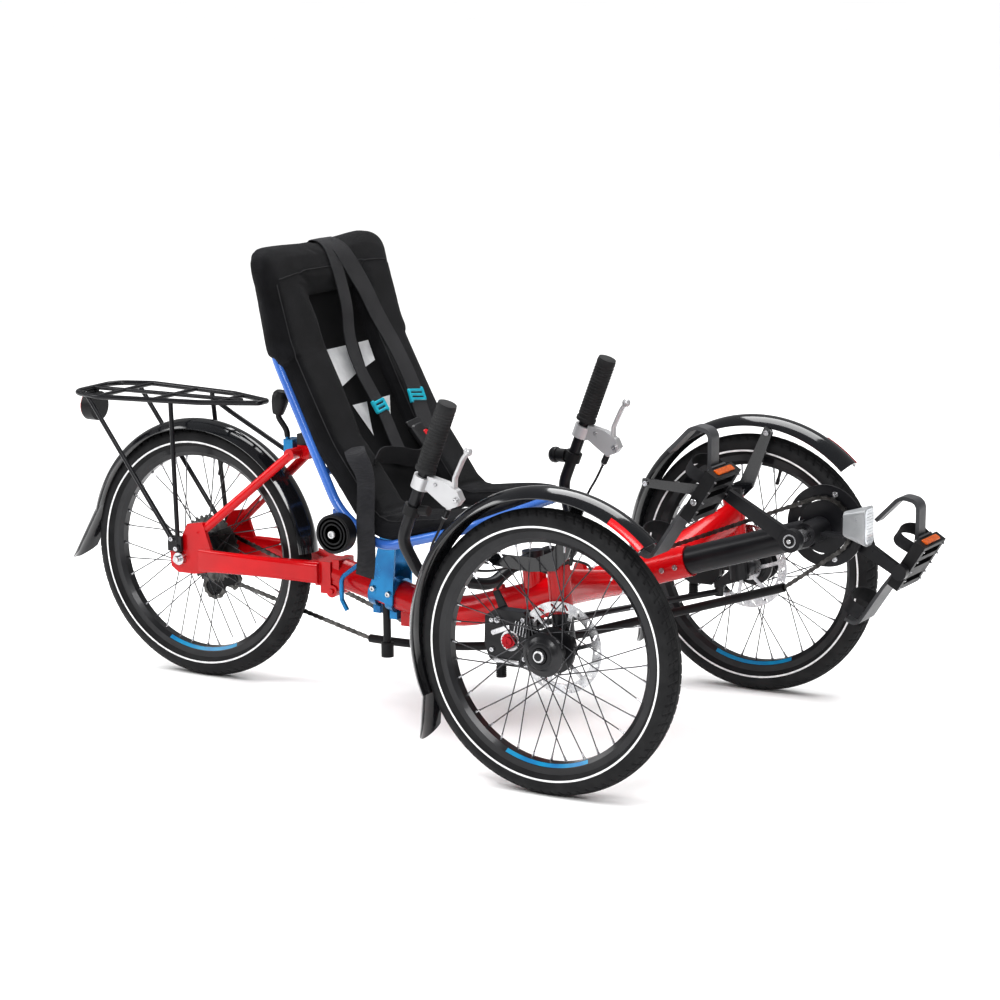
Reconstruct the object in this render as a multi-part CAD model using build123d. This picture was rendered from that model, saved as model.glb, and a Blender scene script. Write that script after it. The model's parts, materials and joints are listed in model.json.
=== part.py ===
from build123d import *
import math
import os

# Folding recumbent tricycle, two wheels in front and one behind, with under-seat steering.
# Millimetres. Points are given from the floor under the rear axle: x forward, y left, z up.
# The finished pieces are moved so that the origin lies on the floor at half length.

# Overall sizes
WHEELBASE = 1000.0
TRACK = 800.0
AXLE_HEIGHT = 247.5
SEAT_WIDTH = 380.0
SEAT_TOP = 862.0
CRANK_LENGTH = 150.0

# Wheels
TYRE_WIDTH = 47.0
BEAD_RADIUS = 203.0
RIM_INNER_RADIUS = 190.0
RIM_OUTER_RADIUS = 209.5
RIM_HALF_WIDTH = 14.0
SPOKE_COUNT = 36
SPOKE_DIAMETER = 2.2
SPOKE_STEP = 2.3
SPOKE_CROSS = 62.0
RIM_DRILLING = 3.0
AXLE_DIAMETER = 12.0
AXLE_END = 96.0
STUB_DIAMETER = 20.0
RUNNING_GAP = 0.3
DISC_RADIUS = 80.0
DISC_THICKNESS = 2.0
DISC_SEAT = 36.0
FRONT_FLANGES = ((38.0, -20.0), (40.0, 16.0))
REAR_FLANGES = ((30.0, -26.0), (30.0, 16.0))
HUB_SHELL = 23.0
SPROCKETS = 8
SPROCKET_LARGEST = 66.0
SPROCKET_FALL = 5.2

# Frame tubes
MAIN_TUBE = 57.0
MAIN_BORE = 50.6
BOOM_TUBE = 50.0
HINGE_X = 315.0
HINGE_TOP = 266.0
HINGE_PIN_Z = 205.0
HINGE_PIN = 10.0
HINGE_LUG = 24.0
DIP_X = 567.0
DIP_Z = 180.0
TUBE_RISE = 0.312
SLEEVE_END_X = 1062.0
BB_X = 1298.0
BB_Z = 409.0
BB_SHELL = 42.0
BB_WIDTH = 68.0
PEDAL_TILT = 57.5
PEDAL_BACK = 38.0
PEDAL_FRONT = 58.0
SPINDLE = 24.0
HEAD_X = 985.0
HEAD_Y = 335.0
HEAD_TOP = 385.0
HEAD_BOTTOM = 302.0
HEAD_TUBE = 40.0
KINGPIN = 28.0
CASTER = 5.0
PIVOT_X = 745.0
PIVOT_TOP = 296.0
DROPOUT_Y = 70.0
ARM_DEPTH = 42.0
ARM_WIDTH = 22.0
STAY_TUBE = 18.0
FRAME_LUGS = [(838.0, 16.0, 14.0), (668.0, 14.0, 10.0)]

# Cross arms: each section's half sizes, fore and aft then up, from the main tube out to the head tube
CROSS_X = 950.0
CROSS_DROP = 15.0
CROSS_ROOT = (26.0, 21.0)
CROSS_MIDDLE = (24.0, 31.0)
CROSS_MIDDLE_BACK = 12.0
CROSS_MIDDLE_IN = 60.0
CROSS_MIDDLE_Z = 332.0
CROSS_TIP = (17.0, 34.0)
CROSS_TIP_Z = 343.0

# Front brakes: outlines and places in (x, z) from the wheel's axle
CALIPER_INSET = 52.0
CALIPER_OUTLINE = [
    (-134, -31.5), (-144, -7.5), (-142, 42.5), (-122, 55.5), (-66, 55.5), (-54, 36.5), (-54, -21.5), (-70, -41.5),
    (-116, -41.5)]
CALIPER_DEPTH = 9.0
CALIPER_ARM = [(-124, 34.5), (-108, 42.5), (-132, 82.5), (-142, 78.5)]
CALIPER_ARM_THICKNESS = 5.0
CALIPER_MOUNT = ((-92, -8), (-8, 20))
DIAL = (-92.0, 3.5)
DIAL_SIZE = 27.0
DIAL_PROUD = 4.0
CABLE_STOP = (-116.0, 38.5)
CABLE_STOP_SIZE = 18.0
CABLE_BARREL = (-116.0, -63.5, -35.5)
CABLE_BARREL_SIZE = 16.0
DISC_SLOT = 4.0

# Steering
STEER_ARM = 50.0
PITMAN_OVER_DIP = 18.5
PITMAN_ROD_Z = DIP_Z + PITMAN_OVER_DIP - MAIN_TUBE / 2
KNUCKLE_ROD_Z = 196.0
ROD_SPREAD = 10.0
ROD_TUBE = 12.0
BAR_TUBE = 22.0
BAR_LEVEL = 308.0
BAR_KNEES = [(738, 150, 286), (668, 272, 318)]
BAR_BENDS = [60, 60, 45, 45]
BAR_STEM_TOP = 322.0
BAR_STEM = 22.0
BAR_COLLAR = 40.0
GRIP_TUBE = 34.0
GRIP_Y = 290.0
GRIP_TOP = (738.0, 633.0)
GRIP_ROOT = (641.0, 385.0)
GRIP_LENGTH = 128.0
LEVER_CLAMP = 24.0
LEVER_BODY = [(694, 482), (700, 506), (736, 498), (760, 484), (768, 468), (758, 456), (742, 450), (730, 456)]
LEVER_BLADE = [(758, 468), (751, 486), (752, 506), (769, 541), (779, 554)]
LEVER_BENDS = [14, 16, 40]
LEVER_ADJUSTER = [(741, 458), (729, 433)]

# Drive line, on the left
CHAIN_Y = 49.0
RING_RADIUS = 73.0
RING_THICKNESS = 4.0
SPROCKET_STEP = 3.8
SPROCKET_THICKNESS = 2.0
CHAIN_TUBE = 16.0
CHAIN_TUBE_BORE = 12.0
CHAIN_HEIGHT = 9.0
CHAIN_WIDTH = 5.4
CHAIN_PLAY = 0.4
INNER_RING_RADIUS = 47.0
IDLER = (464.0, 158.0)
IDLER_RADIUS = 22.0
IDLER_AXLE = 10.0

# Mudguards
FRONT_GUARD_RADIUS = 277.0
REAR_GUARD_RADIUS = 262.0
GUARD_HALF_WIDTH = 31.0
GUARD_DROP = 16.0
GUARD_SHEET = 2.0
GUARD_FORWARD = 6.0
GUARD_RAISE = 8.0
GUARD_FIRST = 46.0
GUARD_BRACKET = [
    (778, 398), (776, 382), (940, 372), (990, 378), (1012, 400), (1052, 508), (1036, 519), (986, 412), (950, 396)]
GUARD_BRACKET_THICKNESS = 5.0
GUARD_STUDS = ((785.0, 389.0), (1040.0, 507.0))
GUARD_STUD_SIZE = 12.0
GUARD_LAST = 204.0
FLAP_LENGTH = 84.0

# Seat
SEAT_TUBE = 18.0
SEAT_LINE = [(274, SEAT_TOP - 9), (310, 679), (441, 406), (526, 340), (700, 388)]
SEAT_BENDS = [280, 120, 80]
COVER_FRONT = [(294, SEAT_TOP + 2), (344, 689), (430, 522), (531, 388), (697, 408)]
COVER_BENDS = [260, 200, 50]
BELT = 3.0
BELT_GAP = 0.5
CROSS_BAR = 16.0
FOOT_X = 420.0
ROLLER_X = 452.0
ROLLER_Z = 365.0
ROLLER_RADIUS = 36.0
ROLLER_AXLE = 10.0

HALF_TRACK = TRACK / 2
FRONT_X = WHEELBASE
REAR_WHEEL = (0.0, 0.0, AXLE_HEIGHT)
SIDES = (("right", -1), ("left", 1))

pieces = {}


def rod(start, end, diameter, bore=0.0):
    """A straight round bar, or a tube where a bore is given."""
    a, b = Vector(*start), Vector(*end)
    section = Circle(diameter / 2)
    if bore:
        section -= Circle(bore / 2)
    return extrude(Plane(origin=a, z_dir=b - a) * section, amount=(b - a).length)


def pipe(points, diameter, bend, bore=0.0):
    """A bent round bar or tube: straight runs joined by arcs."""
    path = FilletPolyline(*points, radius=bend)
    section = Circle(diameter / 2)
    if bore:
        section -= Circle(bore / 2)
    return sweep(Plane(origin=path @ 0, z_dir=path % 0) * section, path=path)


def block(low, high):
    """A box between two corners."""
    size = [h - l for l, h in zip(low, high)]
    middle = [(h + l) / 2 for l, h in zip(low, high)]
    return Pos(*middle) * Box(*size)


def plate_xz(outline, y_low, y_high):
    """A flat plate that stands fore and aft, from an outline of (x, z) points."""
    face = make_face(Polyline(*[(x, 0, z) for x, z in outline], close=True))
    return Pos(0, y_high, 0) * extrude(face, amount=y_high - y_low, dir=(0, -1, 0))


def lathe(outline):
    """A turned solid about the y axis, from an outline of (radius, across) points."""
    return revolve(make_face(Polyline(*outline, close=True)), axis=Axis.Y)


def ring(inner, outer, low, high):
    """A flat ring or bush about the y axis."""
    return lathe([(inner, low), (outer, low), (outer, high), (inner, high)])


def mirror_y(shape):
    return mirror(shape, about=Plane.XZ)


def keep(name, *solids):
    """Stores one node, whose solids do not touch."""
    pieces[name] = solids[0] if len(solids) == 1 else Compound(list(solids))


def tube_z(x):
    """Height of the main tube's and the boom's axis in front of the dip."""
    return DIP_Z + TUBE_RISE * (x - DIP_X)


def axis_x(x, z_middle, z):
    """Where a leaned steering axis that passes (x, z_middle) is at the height z."""
    return x + math.tan(math.radians(CASTER)) * (z_middle - z)


# Wheels

def tyre_shape():
    """A round tyre whose beads sit in the rim, with a flatter tread."""
    lip = RIM_OUTER_RADIUS + 0.5
    bead = RIM_HALF_WIDTH - 2.2
    foot = RIM_HALF_WIDTH + 1.0
    half = TYRE_WIDTH / 2
    side_radius = AXLE_HEIGHT - half
    shoulder_radius = AXLE_HEIGHT - 8.0
    shoulder = half - 5.5
    outline = [
        Polyline((lip, -foot), (lip, -bead), (BEAD_RADIUS, -bead), (BEAD_RADIUS, bead), (lip, bead), (lip, foot)),
        ThreePointArc((lip, foot), (side_radius, half), (shoulder_radius, shoulder)),
        ThreePointArc((shoulder_radius, shoulder), (AXLE_HEIGHT, 0), (shoulder_radius, -shoulder)),
        ThreePointArc((shoulder_radius, -shoulder), (side_radius, -half), (lip, -foot)),
    ]
    return revolve(make_face(outline), axis=Axis.Y)


def rim_shape():
    """A hollow-sided rim: a deep well between two hooked flanges."""
    half = RIM_HALF_WIDTH
    seat = half - 2.2
    return lathe([
        (RIM_INNER_RADIUS, -8), (RIM_INNER_RADIUS, 8), (RIM_INNER_RADIUS + 8, half), (RIM_OUTER_RADIUS, half),
        (RIM_OUTER_RADIUS, seat), (BEAD_RADIUS, seat), (BEAD_RADIUS, -seat), (RIM_OUTER_RADIUS, -seat),
        (RIM_OUTER_RADIUS, -half), (RIM_INNER_RADIUS + 8, -half),
    ])


def spoke(hub, rim):
    """A spoke between a point of the hub flange and one of the rim, as a bar with six sides."""
    a, b = Vector(*hub), Vector(*rim)
    run = (b - a).normalized()
    outward = (run.X * a.X + run.Z * a.Z) / math.hypot(a.X, a.Z)
    a += run * (SPOKE_DIAMETER / 2 * math.sqrt(1 - outward ** 2) / outward + 0.05)
    b -= run * (SPOKE_DIAMETER / 4)
    return extrude(Plane(origin=a, z_dir=run) * RegularPolygon(SPOKE_DIAMETER / 2, 6), amount=(b - a).length)


def spoke_set(left_flange, right_flange):
    """Crossed spokes from two flanges, each given as (radius, across)."""
    spokes = []
    per_side = SPOKE_COUNT // 2
    for (flange_radius, across), start in ((left_flange, 0.0), (right_flange, 0.5)):
        for index in range(per_side):
            lean = 1 if index % 2 else -1
            rim_angle = math.radians((index + start) * 360 / per_side)
            hub_angle = rim_angle + math.radians(lean * SPOKE_CROSS)
            hub = (flange_radius * math.cos(hub_angle), across + lean * SPOKE_STEP, flange_radius * math.sin(hub_angle))
            side = math.copysign(RIM_DRILLING, across)
            rim = (RIM_INNER_RADIUS * math.cos(rim_angle), side, RIM_INNER_RADIUS * math.sin(rim_angle))
            spokes.append(spoke(hub, rim))
    return spokes


def place_wheel(shape, x, y):
    return Pos(x, y, AXLE_HEIGHT) * shape


def front_hub():
    """Hub on a stub axle; the outboard face is at minus y and the disc seat at plus y."""
    bore = STUB_DIAMETER / 2 + RUNNING_GAP
    (out_radius, out_at), (in_radius, in_at) = FRONT_FLANGES
    return lathe([
        (bore, -32), (23, -32), (27, -28), (out_radius - 6, out_at - 5), (out_radius, out_at - 3),
        (out_radius, out_at + 3), (HUB_SHELL + 3, out_at + 6), (HUB_SHELL, out_at + 10), (HUB_SHELL, in_at - 10),
        (HUB_SHELL + 3, in_at - 6), (in_radius, in_at - 3), (in_radius, in_at + 3), (30, in_at + 6),
        (27, in_at + 12), (27, DISC_SEAT), (bore, DISC_SEAT),
    ])


def brake_disc():
    """A slotted rotor: brake ring, six swept arms and a centre ring."""
    outer = Circle(DISC_RADIUS) - Circle(DISC_RADIUS - 17)
    centre = Circle(27) - Circle(STUB_DIAMETER / 2 + RUNNING_GAP)
    arms = [Rot(0, 0, angle) * Pos(44, 6, 0) * Rot(0, 0, 18) * Rectangle(42, 7) for angle in range(0, 360, 60)]
    sketch = outer + centre
    for arm in arms:
        sketch += arm
    for angle in range(0, 360, 20):
        sketch -= Rot(0, 0, angle) * Pos(DISC_RADIUS - 8.5, 0, 0) * Rot(0, 0, 40) * SlotOverall(12, 4)
    return Pos(0, DISC_SEAT + DISC_THICKNESS, 0) * extrude(Plane.XZ * sketch, amount=DISC_THICKNESS)


keep("rear_tyre", place_wheel(tyre_shape(), 0, 0))
keep("rear_rim", place_wheel(rim_shape(), 0, 0))
keep("rear_spokes", *[place_wheel(s, 0, 0) for s in spoke_set(*REAR_FLANGES)])
rear_bore = AXLE_DIAMETER / 2 + RUNNING_GAP
keep("rear_hub", place_wheel(lathe([
    (rear_bore, -52), (20, -52), (24, -44), (26, -34), (30, -30), (30, -22), (24, -18), (24, 13),
    (30, 12), (30, 20), (18, 20.5), (18, 62), (rear_bore, 62),
]), 0, 0))
smallest_sprocket = SPROCKET_LARGEST - SPROCKET_FALL * (SPROCKETS - 1)
first_sprocket = CHAIN_Y - SPROCKET_THICKNESS / 2 - SPROCKET_STEP * (SPROCKETS - 1)
cassette = ring(18.3, 22, first_sprocket, CHAIN_Y + 1)
for index in range(SPROCKETS):
    low = first_sprocket + SPROCKET_STEP * index
    cassette += ring(18.3, SPROCKET_LARGEST - SPROCKET_FALL * index, low, low + SPROCKET_THICKNESS)
keep("cassette", place_wheel(cassette, 0, 0))

for side, sign in SIDES:
    flip = (lambda s: s) if sign < 0 else mirror_y
    y = -HALF_TRACK
    keep(f"{side}_tyre", flip(place_wheel(tyre_shape(), FRONT_X, y)))
    keep(f"{side}_rim", flip(place_wheel(rim_shape(), FRONT_X, y)))
    keep(f"{side}_spokes", *[flip(place_wheel(s, FRONT_X, y)) for s in spoke_set(*FRONT_FLANGES)])
    keep(f"{side}_hub", flip(place_wheel(front_hub(), FRONT_X, y)))
    keep(f"{side}_brake_disc", flip(place_wheel(brake_disc(), FRONT_X, y)))

# Main frame: one bent tube from the fold hinge to the boom sleeve, with the two cross arms and head tubes

hinge_face = (HINGE_X, 0, 238)
sleeve_end = (SLEEVE_END_X, 0, tube_z(SLEEVE_END_X))
main_tube = pipe([hinge_face, (DIP_X, 0, DIP_Z), sleeve_end], MAIN_TUBE, 260)
main_tube -= block((HINGE_X - 30, -40, 170), (HINGE_X, 40, 290))
bore_start = (SLEEVE_END_X - 150, 0, tube_z(SLEEVE_END_X - 150))
bore_end = (SLEEVE_END_X + 10, 0, tube_z(SLEEVE_END_X + 10))
main_frame = main_tube



def cross_section(x, y, z, sign, size):
    """An oval section of a cross arm, which faces outwards."""
    return Plane(origin=(x, sign * y, z), x_dir=(1, 0, 0), z_dir=(0, sign, 0)) * Ellipse(*size)


for sign in (-1, 1):
    root = cross_section(CROSS_X, 0, tube_z(CROSS_X) - CROSS_DROP, sign, CROSS_ROOT)
    middle = cross_section(HEAD_X - CROSS_MIDDLE_BACK, HEAD_Y - CROSS_MIDDLE_IN, CROSS_MIDDLE_Z, sign, CROSS_MIDDLE)
    tip = cross_section(HEAD_X, HEAD_Y, CROSS_TIP_Z, sign, CROSS_TIP)
    main_frame += loft([root, middle, tip])
axis_up = Vector(-math.sin(math.radians(CASTER)), 0, math.cos(math.radians(CASTER)))
head_middle_z = (HEAD_TOP + HEAD_BOTTOM) / 2
head_length = HEAD_TOP - HEAD_BOTTOM


def on_axis(x, y, z_middle, along):
    """A point on a leaned steering axis, a distance along it from its middle."""
    p = Vector(x, y, z_middle) + axis_up * along
    return (p.X, p.Y, p.Z)


for sign in (-1, 1):
    top = on_axis(HEAD_X, sign * HEAD_Y, head_middle_z, head_length / 2)
    bottom = on_axis(HEAD_X, sign * HEAD_Y, head_middle_z, -head_length / 2)
    main_frame += rod(bottom, top, HEAD_TUBE)
pivot_low = on_axis(PIVOT_X, 0, 250, -52)
pivot_high = on_axis(PIVOT_X, 0, 250, PIVOT_TOP - 250)
main_frame += rod(pivot_low, pivot_high, 44)
pin_x = HINGE_X + 0.5


def hinge_rod(low, high, diameter):
    """A round bar on the fold pin's axis."""
    return rod((pin_x, low, HINGE_PIN_Z), (pin_x, high, HINGE_PIN_Z), diameter)


main_frame += block((HINGE_X, -26, HINGE_PIN_Z + 3), (HINGE_X + 16, 26, HINGE_TOP))
main_frame += hinge_rod(-17, 17, HINGE_LUG)
main_frame -= rod(bore_start, bore_end, MAIN_BORE)
for sign in (-1, 1):
    main_frame -= rod(
        on_axis(HEAD_X, sign * HEAD_Y, head_middle_z, -60),
        on_axis(HEAD_X, sign * HEAD_Y, head_middle_z, 60), KINGPIN + 2 * RUNNING_GAP)
main_frame -= rod(on_axis(PIVOT_X, 0, 250, -60), on_axis(PIVOT_X, 0, 250, 80), BAR_STEM + 2 * RUNNING_GAP)
for sign in (-1, 1):
    low, high = sorted((sign * 17.1, sign * 45))
    main_frame -= hinge_rod(low, high, HINGE_LUG + 1.6)
main_frame -= block((HINGE_X - 14, -60, HINGE_PIN_Z + 6.4), (HINGE_X, 60, HINGE_TOP + 10))
main_frame += hinge_rod(-34, 34, HINGE_PIN)
main_frame += rod((IDLER[0], 0, IDLER[1]), (IDLER[0], CHAIN_Y + 8, IDLER[1]), IDLER_AXLE)
main_frame += block((IDLER[0] - 9, -6, IDLER[1] - 9), (IDLER[0] + 12, 6, IDLER[1] + 30))
for x, half, high in FRAME_LUGS:
    lug_z = tube_z(x) + MAIN_TUBE / 2
    main_frame += plate_xz([(x - half, lug_z - 12), (x - half * 0.5, lug_z + high), (x + half * 0.5, lug_z + high),
                            (x + half, lug_z - 6)], -6, 6)
keep("main_frame", main_frame)

# Boom and bottom bracket

boom_start = (SLEEVE_END_X - 140, 0, tube_z(SLEEVE_END_X - 140))
boom = rod(boom_start, (BB_X - 6, 0, tube_z(BB_X - 6)), BOOM_TUBE)
boom += rod((BB_X, -BB_WIDTH / 2, BB_Z), (BB_X, BB_WIDTH / 2, BB_Z), BB_SHELL)
boom -= rod((BB_X, -80, BB_Z), (BB_X, 80, BB_Z), SPINDLE + 2 * RUNNING_GAP)

lamp_x = BB_X + 85
lamp_z = 429.0
lamp_bracket = block((BB_X + 18, -10, BB_Z - 4), (lamp_x - 22.05, 10, BB_Z + 2))
lamp_bracket += block((lamp_x - 26, -10, BB_Z - 4), (lamp_x - 22.05, 10, lamp_z + 10))
keep("boom", boom + lamp_bracket)
headlight = loft([
    Plane(origin=(lamp_x - 22, 0, lamp_z), x_dir=(0, 1, 0), z_dir=(1, 0, 0)) * RectangleRounded(22, 44, 8),
    Plane(origin=(lamp_x + 22, 0, lamp_z), x_dir=(0, 1, 0), z_dir=(1, 0, 0)) * RectangleRounded(40, 70, 12),
])
keep("headlight", headlight)

# Cranks, chainring and pedals

crank_angle = math.atan2(484 - BB_Z, 1168 - BB_X)
for side, sign in SIDES:
    angle = crank_angle if sign < 0 else crank_angle + math.pi
    ex = BB_X + CRANK_LENGTH * math.cos(angle)
    ez = BB_Z + CRANK_LENGTH * math.sin(angle)
    arm_y = sign * 84
    arm = rod((BB_X, arm_y - 8, BB_Z), (BB_X, arm_y + 8, BB_Z), 40)
    arm += rod((ex, arm_y - 7, ez), (ex, arm_y + 7, ez), 28)
    ux, uz = math.cos(angle), math.sin(angle)
    beam = [
        (BB_X - uz * 14, BB_Z + ux * 14), (ex - uz * 10, ez + ux * 10),
        (ex + uz * 10, ez - ux * 10), (BB_X + uz * 14, BB_Z - ux * 14),
    ]
    arm += plate_xz(beam, arm_y - 6, arm_y + 6)
    arm -= rod((BB_X, arm_y - 30, BB_Z), (BB_X, arm_y + 30, BB_Z), SPINDLE)
    arm += rod((ex, arm_y - sign * 7, ez), (ex, sign * 196, ez), 9)
    keep(f"{side}_crank", arm)
    low, high = sorted((sign * 96, sign * 192))
    body = block((-PEDAL_BACK, low, -11), (PEDAL_FRONT, high, 11))
    for window in (-26, 12, 36):
        body -= block((window, low + 12, -20), (window + 14, high - 12, 20))
    body -= rod((0, -230, 0), (0, 230, 0), 9 + 2 * RUNNING_GAP)
    keep(f"{side}_pedal", Pos(ex, 0, ez) * Rot(0, -PEDAL_TILT, 0) * body)
    toe = FilletPolyline((34, 0, 11.1), (62, 0, 26), (104, 0, 52), (92, 0, 84), (28, 0, 98), radius=[30, 16, 24])
    hook = sweep(Plane(origin=toe @ 0, x_dir=(0, 1, 0), z_dir=toe % 0) * Rectangle(30, 7), path=toe)
    hook &= block((0, -40, 11.1), (140, 40, 140))
    heel = FilletPolyline((-24, 0, 15), (-58, 0, 18), (-146, 0, 20), (-150, 0, 44), radius=[30, 14])
    plate = sweep(Plane(origin=heel @ 0, x_dir=(0, 1, 0), z_dir=heel % 0) * Rectangle(62, 6), path=heel)
    rest = Pos(0, sign * 145, 0) * (hook + plate + block((-30, -26, 11.1), (60, 26, 15)))
    keep(f"{side}_foot_rest", Pos(ex, 0, ez) * Rot(0, -PEDAL_TILT, 0) * rest)
keep("crank_spindle", rod((BB_X, -92, BB_Z), (BB_X, 92, BB_Z), SPINDLE))
GUARD_RING_Y = CHAIN_Y + 7.0
guard_ring = Circle(RING_RADIUS) - Circle(SPINDLE / 2)
for index in range(5):
    guard_ring -= Rot(0, 0, 72 * index + 36) * Pos(42, 0, 0) * SlotOverall(30, 22, rotation=90)
chainring = Pos(BB_X, GUARD_RING_Y + RING_THICKNESS, BB_Z) * extrude(Plane.XZ * guard_ring, amount=RING_THICKNESS)
chainring += Pos(BB_X, 0, BB_Z) * ring(SPINDLE / 2, 20, CHAIN_Y - 1, GUARD_RING_Y + 1)
chainring += Pos(BB_X, 0, BB_Z) * ring(SPINDLE / 2, INNER_RING_RADIUS, CHAIN_Y - 1, CHAIN_Y + 1)
keep("chainring", chainring)

# Knuckles, brakes and front mudguards

caliper_face = -HALF_TRACK + CALIPER_INSET
bracket_inner = HEAD_Y + HEAD_TUBE / 2 + 2 * RUNNING_GAP


def from_axle(points):
    """The real (x, z) places of points counted from a front wheel's axle."""
    return [(FRONT_X + x, AXLE_HEIGHT + z) for x, z in points]


for side, sign in SIDES:
    flip = (lambda s: s) if sign < 0 else mirror_y
    top = on_axis(HEAD_X, -HEAD_Y, head_middle_z, head_length / 2 + 1)
    bottom = on_axis(HEAD_X, -HEAD_Y, head_middle_z, -head_length / 2 - 1)
    foot = on_axis(HEAD_X, -HEAD_Y, head_middle_z, AXLE_HEIGHT - 20 - head_middle_z)
    knuckle = rod(bottom, top, KINGPIN) + rod(foot, bottom, HEAD_TUBE - 2)
    knuckle += rod(top, on_axis(HEAD_X, -HEAD_Y, head_middle_z, head_length / 2 + 16), HEAD_TUBE - 2)
    cap_x = axis_x(HEAD_X, head_middle_z, HEAD_TOP + 8)
    knuckle += rod((cap_x, -HEAD_Y, HEAD_TOP + 8), (cap_x, 0.05 - bracket_inner, HEAD_TOP + 8), 13)
    knuckle += rod((FRONT_X, -HEAD_Y, AXLE_HEIGHT), (FRONT_X, -HALF_TRACK - 34, AXLE_HEIGHT), STUB_DIAMETER)
    knuckle += rod((FRONT_X, -HEAD_Y, AXLE_HEIGHT), (FRONT_X, -HEAD_Y - 26, AXLE_HEIGHT), 34)
    knuckle += rod((FRONT_X, -HALF_TRACK - 35, AXLE_HEIGHT), (FRONT_X, -HALF_TRACK - 33, AXLE_HEIGHT), 26)
    knuckle += rod((FRONT_X, -HALF_TRACK - 40, AXLE_HEIGHT), (FRONT_X, -HALF_TRACK - 35, AXLE_HEIGHT), 14)
    arm_x = axis_x(HEAD_X, head_middle_z, KNUCKLE_ROD_Z) - STEER_ARM
    arm_y = -HEAD_Y - ROD_SPREAD
    arm_low = KNUCKLE_ROD_Z + 9
    knuckle += rod((arm_x, arm_y, arm_low), (arm_x, arm_y, arm_low + 9), 20)
    knuckle += plate_xz([
        (arm_x - 4, arm_low), (arm_x - 4, arm_low + 9), (HEAD_X, AXLE_HEIGHT + 4), (HEAD_X + 20, AXLE_HEIGHT - 10),
        (HEAD_X + 10, arm_low + 18),
    ], arm_y + 1, arm_y + 13)
    (mount_back, mount_low), (mount_front, mount_high) = from_axle(CALIPER_MOUNT)
    knuckle += block((mount_back, caliper_face, mount_low), (mount_front, caliper_face + 8, mount_high))
    keep(f"{side}_knuckle", flip(knuckle))
    disc_y = -HALF_TRACK + DISC_SEAT + DISC_THICKNESS / 2
    outer_y = disc_y - CALIPER_DEPTH
    half_slot = DISC_SLOT / 2
    caliper = plate_xz(from_axle(CALIPER_OUTLINE), outer_y, caliper_face - 0.05)
    caliper -= rod((FRONT_X, disc_y - half_slot, AXLE_HEIGHT), (FRONT_X, disc_y + half_slot, AXLE_HEIGHT),
                   2 * DISC_RADIUS + DISC_SLOT)
    (dial_x, dial_z), (stop_x, stop_z) = from_axle((DIAL, CABLE_STOP))
    barrel_x, barrel_low, barrel_high = CABLE_BARREL
    (barrel_x, barrel_low), (barrel_x, barrel_high) = from_axle(((barrel_x, barrel_low), (barrel_x, barrel_high)))
    caliper += rod((dial_x, outer_y, dial_z), (dial_x, outer_y - DIAL_PROUD, dial_z), DIAL_SIZE)
    caliper += rod((barrel_x, disc_y, barrel_low), (barrel_x, disc_y, barrel_high), CABLE_BARREL_SIZE)
    caliper += rod((stop_x, caliper_face - 1, stop_z), (stop_x, caliper_face + 9, stop_z), CABLE_STOP_SIZE)
    caliper += plate_xz(from_axle(CALIPER_ARM), caliper_face + 3, caliper_face + 3 + CALIPER_ARM_THICKNESS)
    keep(f"{side}_brake_caliper", flip(caliper))


def arch_face(crown):
    """The thin curved section of a mudguard, on the x side of the axle."""
    def arch(radius, width, drop):
        return ThreePointArc((radius - drop, -width), (radius, 0), (radius - drop, width))
    outer = arch(crown, GUARD_HALF_WIDTH, GUARD_DROP)
    inner = arch(crown - GUARD_SHEET, GUARD_HALF_WIDTH - GUARD_SHEET / 2, GUARD_DROP)
    return make_face([outer, Line(outer @ 1, inner @ 1), inner, Line(inner @ 0, outer @ 0)])


def guard_shell(crown, first, last):
    """An arched mudguard: the section turned about the axle from one angle to another."""
    return Rot(0, -last, 0) * revolve(arch_face(crown), axis=Axis.Y, revolution_arc=last - first)


def guard_flap(crown, last, run, length, tip):
    """The soft flap that goes on from a mudguard's low end, along a run, with a rounded tip on a point."""
    face = Rot(0, -last, 0) * arch_face(crown)
    flap = extrude(face, amount=length, dir=run)
    x, z = tip
    shape = rod((x - 90, 0, z), (x + 90, 0, z), 2 * GUARD_HALF_WIDTH)
    shape += block((x - 90, -GUARD_HALF_WIDTH - 1, z), (x + 90, GUARD_HALF_WIDTH + 1, z + 200))
    return flap & shape


for side, sign in SIDES:
    flip = (lambda s: s) if sign < 0 else mirror_y
    guard = guard_shell(FRONT_GUARD_RADIUS, GUARD_FIRST, GUARD_LAST)
    guard += guard_flap(FRONT_GUARD_RADIUS, GUARD_LAST, (-0.08, 0, -1), FLAP_LENGTH, (-255, -160))
    guard = Pos(GUARD_FORWARD, 0, GUARD_RAISE) * place_wheel(guard, FRONT_X, -HALF_TRACK)
    guard += plate_xz(GUARD_BRACKET, -bracket_inner - GUARD_BRACKET_THICKNESS, -bracket_inner)
    for x, z in GUARD_STUDS:
        guard += rod((x, -bracket_inner, z), (x, -HALF_TRACK + GUARD_HALF_WIDTH - 1, z), GUARD_STUD_SIZE)
    keep(f"{side}_mudguard", flip(guard))


# Rear frame: two deep arms, dropout plates and stays that meet behind the seat

def fore_aft(x, y, z):
    """A section plane that faces forward, with its width along y and its height along z."""
    return Plane(origin=(x, y, z), x_dir=(0, 1, 0), z_dir=(1, 0, 0))


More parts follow.
